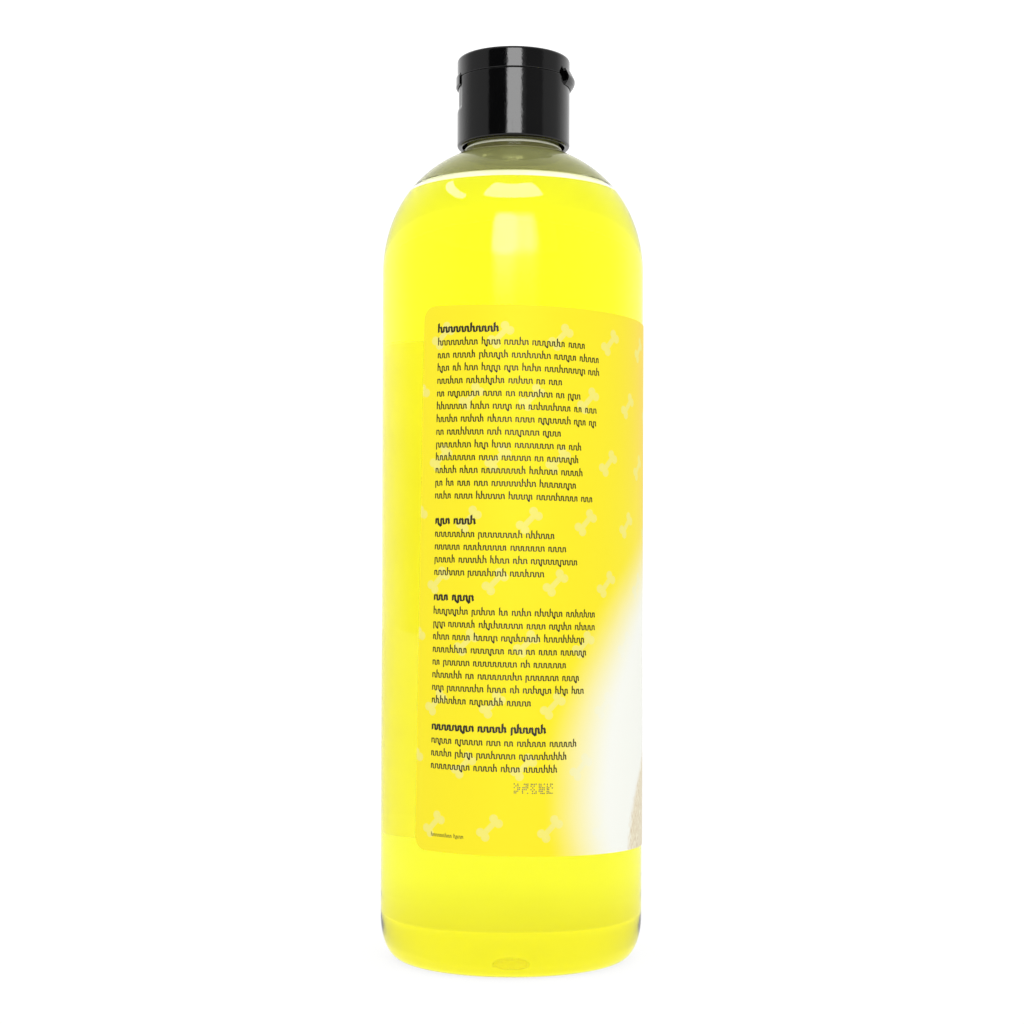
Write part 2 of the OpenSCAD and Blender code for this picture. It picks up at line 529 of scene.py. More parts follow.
def srgb(red: float, green: float, blue: float) -> Colour:
    """Linear colour from sRGB values out of 255.

    Args:
        red: red.
        green: green.
        blue: blue.

    Returns:
        The linear colour.
    """

    def one(value: float) -> float:
        """One channel."""
        share = value / 255
        return share / 12.92 if share <= 0.04045 else ((share + 0.055) / 1.055) ** 2.4

    return one(red), one(green), one(blue)


# ---------------------------------------------------------------- finishes


@dataclass(frozen=True)
class Band:
    """A part of a clear wall with a tint that paints light and shade on it, between two radii and two
    heights in millimetres.
    """

    radii: Point
    heights: Point
    tint: Colour
    soft: float = 1.0

    def inside(self, away: Wire, z: Wire) -> Wire:
        """Coverage of the band.

        Args:
            away: distance from the axis, in millimetres.
            z: height, in millimetres.

        Returns:
            1 well inside the band and 0 outside it.
        """
        cover: Number = 1.0
        for value, (low, high) in ((away, self.radii), (z, self.heights)):
            cover = value.ramp(low - self.soft, low + self.soft) * cover
            cover = value.ramp(high + self.soft, high - self.soft) * cover
        return cover


@dataclass(frozen=True)
class ClearPet:
    """Clear blow-moulded polyester, slightly wavy, with a tint that paints shade where nothing wets it
    and bands that paint light and shade.

    Its wall is thin, so its refraction shows only in its gloss. Where liquid wets the wall that gloss
    is the liquid's, so a wetted wall has a low index.
    """

    name: str
    index: float
    tint: Colour
    smear: Colour
    wave: float = 0.00003
    haze: float = 0.0
    bands: Sequence[Band] = ()

    def build(self) -> bpy.types.Material:
        """Makes the material.

        Returns:
            The material.
        """
        graph = Graph(self.name)
        point = graph.object_point()
        film = graph.noise(graph.stretched(point, (1, 1, 1.8)), 55, 4, 0.6)
        colour = graph.colour(film.ramp(0.35, 0.75), self.tint, self.smear)
        x, y, z = graph.split(point, 1 / MM)
        away = graph.length(x, y)
        # The bands paint light and shade into the wall's colour.
        for band in self.bands:
            colour = graph.colour(band.inside(away, z), colour, band.tint)
        wave = graph.noise(point, 60, 1)
        graph.surface(
            Base_Color=colour,
            Roughness=0.015,
            IOR=self.index,
            Transmission_Weight=1.0 - self.haze,
            Normal=graph.bump(wave, self.wave),
        )
        return graph.material


@dataclass(frozen=True)
class LiquidSoap:
    """Clear yellow shampoo that takes out blue light with depth."""

    name: str = "yellow_shampoo"
    index: float = 1.42
    density: float = 84.0
    left: Colour = (0.9985, 0.9975, 0.0)

    def build(self) -> bpy.types.Material:
        """Makes the material, with plain absorption inside.

        Returns:
            The material.
        """
        graph = Graph(self.name)
        point = graph.object_point()
        haze = graph.noise(graph.stretched(point, (1, 1, 0.3)), 25, 2)
        colour = graph.colour(haze.ramp(0.3, 0.7), (1.0, 1.0, 0.93), (1.0, 0.995, 0.86))
        graph.surface(Base_Color=colour, Roughness=0.0, IOR=self.index, Transmission_Weight=1.0)
        volume = graph.add("ShaderNodeVolumeAbsorption")
        volume.inputs["Color"].default_value = (*self.left, 1.0)
        volume.inputs["Density"].default_value = self.density
        graph.tree.links.new(volume.outputs[0], graph.output.inputs["Volume"])
        return graph.material


@dataclass(frozen=True)
class Froth:
    """Fine pale bubbles at the liquid's edge, with a painted glow that makes them a bright cream band."""

    name: str = "pale_froth_painted_glow"

    def build(self) -> bpy.types.Material:
        """Makes the material.

        Returns:
            The material.
        """
        graph = Graph(self.name)
        point = graph.object_point()
        bubbles = graph.cells(point, 1500)
        patch = graph.noise(graph.stretched(point, (1, 1, 3)), 160, 3)
        colour = graph.colour(patch.ramp(0.3, 0.7), (0.90, 0.91, 0.58), (0.99, 0.99, 0.80))
        # Painted light: the emission makes the froth glow though it is no lamp.
        graph.surface(
            Base_Color=colour,
            Roughness=0.4,
            Emission_Color=(1.0, 1.0, 0.66),
            Emission_Strength=0.32,
            Normal=graph.bump(bubbles, 0.0001),
        )
        return graph.material


@dataclass(frozen=True)
class BlackPolypropylene:
    """Glossy black moulded plastic with a fine orange-peel skin and faint handling marks."""

    name: str
    base: Colour = (0.0008, 0.0008, 0.0009)
    gloss: float = 0.06
    peel: float = 0.000014

    def build(self) -> bpy.types.Material:
        """Makes the material.

        Returns:
            The material.
        """
        graph = Graph(self.name)
        point = graph.object_point()
        peel = graph.noise(point, 1500, 3, 0.6)
        broad = graph.noise(point, 220, 2)
        scuffs = graph.noise(graph.stretched(point, (1, 1, 0.12)), 2600, 2).ramp(0.6, 0.8)
        rough = self.gloss + 0.05 * broad + 0.12 * scuffs
        colour = graph.colour(broad, self.base, tuple(2.2 * part for part in self.base))
        graph.surface(
            Base_Color=colour,
            Roughness=rough,
            IOR=1.49,
            Normal=graph.bump(peel + 2.0 * broad, self.peel),
        )
        return graph.material


@dataclass(frozen=True)
class LinerFoam:
    """White closed-cell foam."""

    name: str = "white_foam"

    def build(self) -> bpy.types.Material:
        """Makes the material.

        Returns:
            The material.
        """
        graph = Graph(self.name)
        point = graph.object_point()
        pits = graph.cells(point, 2400)
        # Painted shade: the foam is darker in its pits.
        colour = graph.colour(pits.ramp(0.1, 0.7), srgb(222, 221, 214), srgb(244, 243, 238))
        graph.surface(Base_Color=colour, Roughness=0.75, Normal=graph.bump(pits, 0.00008))
        return graph.material


@dataclass(frozen=True)
class PrintInk:
    """Ink laid on the label, a little uneven."""

    name: str
    ink: Colour
    thin: Colour
    rough: float = 0.4

    def build(self) -> bpy.types.Material:
        """Makes the material.

        Returns:
            The material.
        """
        graph = Graph(self.name)
        point = graph.object_point()
        patch = graph.noise(point, 900, 3)
        colour = graph.colour(patch.ramp(0.35, 0.8), self.ink, self.thin)
        graph.surface(Base_Color=colour, Roughness=self.rough + 0.1 * patch)
        return graph.material


@dataclass(frozen=True)
class LabelBack:
    """The adhesive side of the thin label film: subsurface lets some light through it, and a warm painted
    glow stands in for more light from behind.
    """

    name: str = "label_adhesive_painted_glow"
    depth: float = 0.0005
    glow: float = 0.42

    def build(self) -> bpy.types.Material:
        """Makes the material.

        Returns:
            The material.
        """
        graph = Graph(self.name)
        point = graph.object_point()
        patch = graph.noise(point, 120, 3)
        colour = graph.colour(patch, srgb(250, 240, 190), srgb(255, 247, 215))
        graph.surface(
            Base_Color=colour,
            Roughness=0.6,
            Subsurface_Weight=1.0,
            Subsurface_Radius=(1.0, 1.0, 1.0),
            Subsurface_Scale=self.depth,
            # Painted light: a warm glow for the light that shines through the film from behind.
            Emission_Color=(1.0, 0.88, 0.35),
            Emission_Strength=self.glow,
        )
        return graph.material


@dataclass(frozen=True)
class LabelArt:
    """The label's printed picture: bones on yellow, a white glow, a sandy mound and a paw.

    All places are millimetres along the label (u) and up it (v).
    """

    name: str = "printed_film"
    uv_span: float = 200.0
    yellow: Colour = (0.84, 0.715, 0.004)
    orange: Colour = (0.84, 0.45, 0.006)
    bone: Colour = (0.78, 0.71, 0.16)
    white: Colour = (0.81, 0.82, 0.76)
    sand: Colour = (0.52, 0.38, 0.19)
    tan: Colour = (0.82, 0.78, 0.58)
    brown: Colour = (0.30, 0.13, 0.035)
    glow_u: float = 98.6
    glow_v: float = 16.0
    glow_r: float = 60.0
    glow_soft: Point = (9.0, 10.0)
    warm_v: float = 112.0
    warm_squash: float = 0.7
    warm_reach: Point = (56.0, 8.0)
    mound_half: Point = (42.5, 32.0)
    paw_v: float = 57.0
    paw_scale: float = 1.1
    plate_v: float = 99.0
    plate_half: Point = (30.0, 11.0)
    plate_corner: float = 5.0
    plate_orange: Colour = (0.78, 0.16, 0.012)
    bone_start: Point = (5.4, 6.15)
    bone_pitch: Point = (13.65, 27.4)
    bone_shift: float = 7.3
    bone_lean: float = 47.0

    def bones(self, graph: Graph, u: Wire, v: Wire) -> Wire:
        """Coverage of the two staggered sets of leaning bones.

        Args:
            graph: the material's graph.
            u: millimetres along the label.
            v: millimetres up the label.

        Returns:
            1 on a bone and 0 off it.
        """
        lean = math.radians(self.bone_lean)
        nearest: Optional[Wire] = None
        (first_u, first_v), (pitch_u, pitch_v) = self.bone_start, self.bone_pitch
        for start_u, start_v in ((first_u, first_v), (first_u + self.bone_shift, first_v + pitch_v / 2)):
            across = (u - start_u).repeat(pitch_u)
            up = (v - start_v).repeat(pitch_v)
            along = abs(across * math.cos(lean) + up * math.sin(lean))
            beside = abs(up * math.cos(lean) - across * math.sin(lean))
            knob = graph.length(along - 2.15, beside - 0.78) - 0.95
            shaft = (along - 2.2).most(beside - 0.62)
            shape = knob.least(shaft)
            nearest = shape if nearest is None else nearest.least(shape)
        return nearest.ramp(0.12, -0.12)

    def blob(self, graph: Graph, u: Wire, v: Wire, at: Point, size: Point, turn: float = 0.0) -> Wire:
        """Signed distance, roughly, from an ellipse.

        Args:
            graph: the material's graph.
            u: millimetres along the label.
            v: millimetres up the label.
            at: the ellipse's centre.
            size: its half axes.
            turn: how far it is turned, in degrees.

        Returns:
            A wire that is below 0 inside.
        """
        c, s = math.cos(math.radians(turn)), math.sin(math.radians(turn))
        x = (u - at[0]) * (c / size[0]) + (v - at[1]) * (s / size[0])
        y = (v - at[1]) * (c / size[1]) - (u - at[0]) * (s / size[1])
        return (graph.length(x, y) - 1.0) * min(size)

    def paw(self, graph: Graph, u: Wire, v: Wire, at: Point, scale: float) -> Wire:
        """Coverage of a paw print: a three-lobed pad and four toes.

        Args:
            graph: the material's graph.
            u: millimetres along the label.
            v: millimetres up the label.
            at: the paw's middle.
            scale: its size against a 30 mm paw.

        Returns:
            1 on the paw and 0 off it.
        """
        parts = [
            ((0, -2), (9, 7), 0),
            ((-6.5, -6.5), (5, 5), 0),
            ((6.5, -6.5), (5, 5), 0),
            ((-14, 4.5), (3.7, 5.6), 24),
            ((-5.6, 12), (4, 6.4), 8),
            ((5.6, 12), (4, 6.4), -8),
            ((14, 4.5), (3.7, 5.6), -24),
        ]
        shape: Optional[Wire] = None
        for (x, y), (a, b), turn in parts:
            centre = (at[0] + x * scale, at[1] + y * scale)
            part = self.blob(graph, u, v, centre, (a * scale, b * scale), turn)
            shape = part if shape is None else shape.least(part)
        return shape.ramp(0.15, -0.15)

    def plate(self, u: Wire, v: Wire, at: Point, half: Point, corner: float, graph: Graph) -> Wire:
        """Signed distance from a rounded rectangle.

        Args:
            graph: the material's graph.
            u: millimetres along the label.
            v: millimetres up the label.
            at: the plate's middle.
            half: its half sizes.
            corner: its corners' radius.

        Returns:
            A wire that is below 0 inside, once the corner's radius is counted.
        """
        x = (abs(u - at[0]) - (half[0] - corner)).most(0.0)
        y = (abs(v - at[1]) - (half[1] - corner)).most(0.0)
        return graph.length(x, y) - corner

    def build(self) -> bpy.types.Material:
        """Makes the material.

        Returns:
            The material.
        """
        graph = Graph(self.name)
        u, v, _ = graph.split(graph.uv_point(), self.uv_span)
        point = graph.object_point()
        warm = graph.length(u - self.glow_u, (v - self.warm_v) * self.warm_squash).ramp(*self.warm_reach)
        ground = graph.colour(warm, self.yellow, self.orange)
        ground = graph.colour(self.bones(graph, u, v) * 0.92, ground, self.bone)
        edge = graph.noise(point, 45, 2) * 3.0
        glow = graph.length(u - self.glow_u, v - self.glow_v) + edge
        glow = glow.ramp(self.glow_r + self.glow_soft[1], self.glow_r - self.glow_soft[0])
        ground = graph.colour(glow, ground, self.white)
        fur = graph.noise(graph.stretched(graph.uv_point(), (1, 0.22, 1)), 520, 4, 0.65)
        mound = self.blob(graph, u, v, (self.glow_u, 0.0), self.mound_half) + fur * 3.5
        coat = graph.colour(fur.ramp(0.3, 0.7), self.sand, self.tan)
        ground = graph.colour(mound.ramp(2.2, 0.0) * 0.85, ground, coat)
        paw = self.paw(graph, u, v, (self.glow_u, self.paw_v), self.paw_scale)
        ground = graph.colour(paw, ground, self.brown)
        panel = self.plate(u, v, (self.glow_u, self.plate_v), self.plate_half, self.plate_corner, graph)
        ground = graph.colour(panel.ramp(1.2, 0.9), ground, self.white)
        ground = graph.colour(panel.ramp(0.15, -0.15), ground, self.plate_orange)
        grain = graph.noise(point, 2600, 2)
        sag = graph.noise(point, 70, 2)
        graph.surface(
            Base_Color=ground,
            Roughness=0.42 + 0.1 * grain,
            Specular_IOR_Level=0.35,
            Normal=graph.bump(grain + 6.0 * sag, 0.000006),
        )
        return graph.material


# ---------------------------------------------------------------- sub-assemblies


@dataclass
class BottleSizes:
    """The shell's outline, shared by the shell and what fills or wraps it."""

    body_r: float = 31.0
    shoulder_z: float = 161.4
    shoulder_h: float = 31.1
    shoulder_power: float = 2.14
    heel_w: float = 4.7
    heel_h: float = 9.7
    wall: float = 0.6
    push_up_r: float = 16.0
    push_up_h: float = 2.6
    ring_h: float = 0.11
    ring_rate: float = 0.95
    bead_r: float = 11.6
    neck_r: float = 10.9
    bore_r: float = 9.3
    neck_top: float = 205.8
    fill_z: float = 181.4

    @classmethod
    def from_frame(cls) -> "BottleSizes":
        """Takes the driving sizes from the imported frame.

        Returns:
            The sizes.
        """
        return cls(
            body_r=round(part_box("bottle")[1].x / MM, 2),
            neck_top=round(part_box("bottle")[1].z / MM, 2),
            fill_z=round(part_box("shampoo")[1].z / MM, 2),
        )

    def base(self, inset: float, lift: float = 0.0) -> list[Point]:
        """Push-up and heel, from the axis to the wall.

        Args:
            inset: distance in from the outer skin at the wall.
            lift: distance up from the outer skin at the foot.

        Returns:
            The outline's points, with shallow rings in the push-up.
        """
        points = []
        for step in range(61):
            r = self.push_up_r * step / 60
            rise = self.push_up_h * (1 + math.cos(math.pi * r / self.push_up_r)) / 2
            ring = self.ring_h * math.sin(self.ring_rate * r) * smooth((self.push_up_r - r) / 4)
            points.append((r, lift + rise + ring))
        for step in range(15):
            a = math.pi / 2 * step / 14
            r = self.body_r - self.heel_w + (self.heel_w - inset) * math.sin(a)
            low = lift * (1 - step / 14)
            points.append((r, low + (self.heel_h - low) * (1 - math.cos(a))))
        return points

    def wall_rings(self, inset: float, count: int = 12) -> list[Point]:
        """Rings of the straight wall, with one close to each end so that the wall's shading stays flat.

        Args:
            inset: distance in from the outer skin.
            count: bays between the ends.

        Returns:
            The rings' points, from the heel up.
        """
        low, high = self.heel_h, self.shoulder_z
        middle = [low + (high - low) * step / count for step in range(1, count)]
        return [(self.body_r - inset, z) for z in (low + 0.5, *middle, high - 0.5)]

    def shoulder_r(self, z: float, inset: float) -> float:
        """Radius of the shoulder at a height."""
        share = min(1.0, max(0.0, (z - self.shoulder_z) / (self.shoulder_h - inset)))
        return (self.body_r - inset) * (1 - share**self.shoulder_power) ** (1 / self.shoulder_power)

    def shoulder(self, inset: float, end_r: float, steps: int = 36) -> list[Point]:
        """The shoulder's curve, from the wall in to a radius.

        Args:
            inset: distance in from the outer skin.
            end_r: radius where it ends.
            steps: straight pieces in the curve.

        Returns:
            The curve's points, from the wall up.
        """
        power = self.shoulder_power
        last = math.acos(((end_r) / (self.body_r - inset)) ** (power / 2))
        points = []
        for step in range(steps + 1):
            a = last * step / steps
            r = (self.body_r - inset) * math.cos(a) ** (2 / power)
            z = self.shoulder_z + (self.shoulder_h - inset) * math.sin(a) ** (2 / power)
            points.append((r, z))
        return points


@dataclass
class BottleShell:
    """The blown shell with its threaded neck."""

    sizes: BottleSizes
    wet_z: float
    pitch: float = 3.175
    thread_turns: float = 1.5
    thread_r: float = 11.9
    thread_w: float = 2.2
    bead_top: Point = (0.5, 1.6)
    # Painted light and shade round the foot: the lower wall darker and warmer, the standing ring lighter,
    # the push-up's middle darker with a lighter ring, and a bright painted highlight at the gate.
    foot_painted_light_and_shade: Sequence[Band] = (
        Band((-9.0, 40.0), (-9.0, 12.0), (0.90, 0.875, 0.74), 5.0),
        Band((17.0, 24.5), (-9.0, 3.5), (0.96, 0.955, 0.84)),
        Band((-9.0, 15.5), (-9.0, 6.0), (0.86, 0.80, 0.55)),
        Band((6.5, 9.0), (-9.0, 6.0), (0.95, 0.92, 0.70), 0.8),
        Band((-9.0, 1.3), (-9.0, 8.0), (1.0, 1.0, 0.62), 0.5),
    )

    @property
    def foot(self) -> float:
        """Height of the neck's foot, where the shoulder meets the bead."""
        return self.sizes.shoulder(0.0, self.sizes.bead_r)[-1][1]

    @property
    def wetted(self) -> ClearPet:
        """The finish below the top of the froth, with painted light and shade round the foot.

        Returns:
            The finish.
        """
        return ClearPet(
            "wetted_pet", 1.12, (0.985, 0.99, 0.97), (0.97, 0.975, 0.94), 0.00001, bands=self.foot_painted_light_and_shade
        )

    @property
    def dry(self) -> ClearPet:
        """The finish above the froth: a dark olive tint painted on as shade, darker still as painted
        shade round the neck's foot.

        Returns:
            The finish.
        """
        # Painted shade: the dry wall's dark olive tint, and a darker band below the neck's foot.
        shade = Band((-9.0, 15.0), (self.foot - 2.0, self.foot + 0.6), (0.38, 0.37, 0.15), 0.25)
        return ClearPet("dry_pet_painted_shade", 1.2, (0.52, 0.53, 0.24), (0.43, 0.44, 0.17), haze=0.3, bands=(shade,))

    @property
    def bead(self) -> ClearPet:
        """The finish of the bead's rounded top: a pale hazy tint that paints a highlight on it."""
        # Painted highlight: the pale, hazy bead.
        return ClearPet("bead_painted_highlight", 1.3, (0.98, 0.98, 0.82), (0.95, 0.95, 0.76), haze=0.85)

    def finish_index(self, face: bmesh.types.BMFace) -> int:
        """Picks the finish of a face: 0 wetted, 1 dry, 2 the bead's top with its painted highlight.

        Args:
            face: a face of the shell.

        Returns:
            The finish's index.
        """
        centre = face.calc_center_median()
        z, away = centre.z / MM, math.hypot(centre.x, centre.y) / MM
        low, high = self.bead_top
        edge = 0.05
        if low < z - self.foot < high and self.sizes.neck_r + edge < away < self.sizes.bead_r + edge:
            return 2
        return 1 if z > self.wet_z else 0

    def outline(self) -> list[Point]:
        """Outer skin from the axis up, over the neck's land, and the inner skin back down.

        Returns:
            The closed outline's points.
        """
        s = self.sizes
        outer = s.base(0.0) + s.wall_rings(0.0) + s.shoulder(0.0, s.bead_r)
        foot = outer[-1][1]
        neck = fillet(
            [
                (s.bead_r, foot, 0.0),
                (s.bead_r, foot + 1.1, 0.5),
                (s.neck_r, foot + 1.4, 0.3),
                (s.neck_r, s.neck_top, 0.35),
                (s.bore_r, s.neck_top, 0.35),
                (s.bore_r, foot + 1.0, 0.0),
            ]
        )
        inner = s.base(s.wall, 0.6) + s.wall_rings(s.wall) + s.shoulder(s.wall, s.bore_r)
        return outer + neck[1:] + inner[::-1]

    def add_thread(self, bm: bmesh.types.BMesh) -> None:
        """Adds the right-hand screw thread, which runs up the neck counterclockwise.

        Args:
            bm: the shell's bmesh.
        """
        s = self.sizes
        top = s.neck_top - 2.0
        low = top - self.thread_turns * self.pitch
        half, crest = self.thread_w / 2, self.thread_w * 0.225
        ridge = [
            (s.neck_r - 0.3, low - half),
            (self.thread_r, low - crest),
            (self.thread_r, low + crest),
            (s.neck_r - 0.3, low + half),
        ]
        made = spin_outline(
            bm, ridge, closed=True, sweep=self.thread_turns * TURN,
            steps=round(self.thread_turns * 64), rise=self.thread_turns * self.pitch,
        )
        fade_ends(made, low, top, s.neck_r - 0.1, self.pitch)

    def build(self) -> bpy.types.Object:
        """Makes the shell, wetted below the top of the froth and dry above it.

        Returns:
            The piece.
        """
        bm = bmesh.new()
        spin_outline(bm, self.outline())
        self.add_thread(bm)
        close_up(bm)
        for face in bm.faces:
            face.material_index = self.finish_index(face)
        piece = new_object("bottle_shell", bm, 40)
        for finish in (self.wetted, self.dry, self.bead):
            piece.data.materials.append(finish.build())
        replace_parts(piece, "bottle")
        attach(piece, Body.BOTTLE.value)
        return piece


def fade_ends(
    verts: Iterable[bmesh.types.BMVert], low: float, top: float, root_r: float, pitch: float
) -> None:
    """Sinks the two ends of a screw thread into the wall that carries it.

    Args:
        verts: the thread's vertices.
        low: middle height of the thread's lower end, in millimetres.
        top: middle height of its upper end.
        root_r: radius of the wall.
        pitch: rise in a turn.
    """
    fade = pitch / 8
    for vert in verts:
        radius = math.hypot(vert.co.x, vert.co.y) / MM
        z = vert.co.z / MM
        end = min(z - low, top - z)
        share = max(0.0, min(1.0, (end + fade) / (2 * fade)))
        wanted = root_r + (radius - root_r) * share
        vert.co.x *= wanted / radius
        vert.co.y *= wanted / radius


@dataclass
class Shampoo:
    """The liquid, and the pale froth, glowing with painted light, that clings to the wall round its top.

    The liquid reaches a little way into the wall, so that no film of air shows between them.
    """

    sizes: BottleSizes
    overlap: float = 0.1
    sink: float = 0.9
    froth_h: float = 1.7
    froth_w: float = 1.5
    finish: LiquidSoap = field(default_factory=LiquidSoap)
    froth: Froth = field(default_factory=Froth)

    @property
    def level(self) -> float:
        """Height of the flat surface."""
        return self.sizes.fill_z - self.sink

    def place(
        self, name: str, outline: list[Point], closed: bool, finish: Union[LiquidSoap, Froth]
    ) -> bpy.types.Object:
        """Spins an outline into a piece that rides on the bottle.

        Args:
            name: the piece's name.
            outline: the points to spin.
            closed: joins the last point to the first.
            finish: the piece's finish.

        Returns:
            The piece.
        """
        bm = bmesh.new()
        spin_outline(bm, outline, closed=closed)
        close_up(bm)
        piece = new_object(name, bm, 60)
        piece.data.materials.append(finish.build())
        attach(piece, Body.BOTTLE.value)
        return piece

    def build(self) -> None:
        """Makes the liquid and the froth."""
        s = self.sizes
        inset = s.wall - self.overlap
        side = s.wall_rings(inset) + s.shoulder(inset, s.shoulder_r(self.level, inset))
        outline = s.base(inset, 0.35) + side + [(0.0, self.level)]
        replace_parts(self.place("shampoo_fill", outline, False, self.finish), "shampoo")
        heights = [self.level + TOUCH + self.froth_h * step / 8 for step in range(9)]
        wall = [(s.shoulder_r(z, s.wall + TOUCH), z) for z in heights]
        inner = []
        for step in range(8):
            share = step / 8
            r, z = wall[step]
            inner.append((r - 0.08 - self.froth_w * (1 - share) ** 2.2, z))
        self.place("froth_ring", wall + inner[::-1], True, self.froth)


@dataclass
class WrapLabel:
    """The film label, turned slightly on the wall, and the print laid on it."""

    sizes: BottleSizes
    start: float = -44.4
    arc: float = 276.0
    height: float = 122.5
    low_z: float = 28.3
    lean: float = 1.15
    corner: float = 3.0
    lift: float = 0.03
    film: float = 0.1
    art: LabelArt = field(default_factory=LabelArt)
    back: LabelBack = field(default_factory=LabelBack)

    @property
    def inner_r(self) -> float:
        """Radius of the film's adhesive side."""
        return self.sizes.body_r + self.lift

    @property
    def width(self) -> float:
        """Length of the label round the bottle."""
        return math.radians(self.arc) * self.inner_r

    def wrap(self, u: float, v: float, proud: float) -> Vector:
        """The place of a point of the flat label on the bottle.

        Args:
            u: millimetres along the label.
            v: millimetres up the label.
            proud: millimetres out from the film's adhesive side.

        Returns:
            The point, in metres.
        """
        turn = math.sin(math.radians(self.lean))
        a = math.radians(self.start - 90) + (u + v * turn) / self.inner_r
        r = (self.inner_r + proud) * MM
        return Vector((r * math.cos(a), r * math.sin(a), (self.low_z - u * turn + v) * MM))

    def build(self) -> bpy.types.Object:
        """Makes the film, flat first and then wrapped, with its picture on its own UV map.

        Returns:
            The piece.
        """
        bm = bmesh.new()
        columns, rows = 150, 26
        bmesh.ops.create_grid(bm, x_segments=columns, y_segments=rows, size=0.5)
        layer = bm.loops.layers.uv.new("print")
        flat: dict[bmesh.types.BMVert, Point] = {}
        for vert in bm.verts:
            across, up = vert.co.x + 0.5, vert.co.y + 0.5
            u = self.width * self.ease(across)
            reach = max(0.0, self.corner - min(u, self.width - u))
            cut = self.corner - math.sqrt(max(0.0, self.corner**2 - reach**2))
            flat[vert] = (u, cut + (self.height - 2 * cut) * up)
        for face in bm.faces:
            for loop in face.loops:
                u, v = flat[loop.vert]
                loop[layer].uv = (u / self.art.uv_span, v / self.art.uv_span)
        for vert, (u, v) in flat.items():
            vert.co = self.wrap(u, v, 0.0)
        bmesh.ops.recalc_face_normals(bm, faces=bm.faces)
        first = next(iter(bm.faces))
        if first.normal.dot(first.calc_center_median()) < 0:
            bmesh.ops.reverse_faces(bm, faces=bm.faces)
        skin = list(bm.faces)
        grown = bmesh.ops.extrude_face_region(bm, geom=skin, use_keep_orig=True)
        for vert in (g for g in grown["geom"] if isinstance(g, bmesh.types.BMVert)):
            radius = math.hypot(vert.co.x, vert.co.y)
            vert.co.x *= 1 + self.film * MM / radius
            vert.co.y *= 1 + self.film * MM / radius
        bmesh.ops.recalc_face_normals(bm, faces=bm.faces)
        middle = (self.inner_r + self.film / 2) * MM
        for face in bm.faces:
            centre = face.calc_center_median()
            face.material_index = 0 if math.hypot(centre.x, centre.y) > middle - 1e-6 else 1
        piece = new_object("label_film", bm, 50)
        piece.data.materials.append(self.art.build())
        piece.data.materials.append(self.back.build())
        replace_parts(piece, "wrap_label")
        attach(piece, Body.BOTTLE.value)
        return piece

    def ease(self, share: float) -> float:
        """Spreads the film's columns, with more of them in the rounded corners.

        Args:
            share: even share of the film's length.

        Returns:
            The eased share.
        """
        near = self.corner / self.width
        count = 6 / 150
        if share < count:
            return near * (share / count) ** 2
        if share > 1 - count:
            return 1 - near * ((1 - share) / count) ** 2
        return near + (share - count) / (1 - 2 * count) * (1 - 2 * near)


class Pen(Enum):
    """Nib width, letter step and height of the greeked words, in millimetres."""

    BODY = (0.27, 1.12, 1.1)
    HEADING = (0.46, 1.34, 1.25)
    SMALL = (0.12, 0.62, 0.6)
    TITLE = (1.1, 3.4, 5.0)


@dataclass
class TextBlock:
    """Rows of greeked words: place of the first row, row pitch and the length of each row."""

    left: float
    top: float
    pitch: float
    lengths: Sequence[float]
    pen: Pen


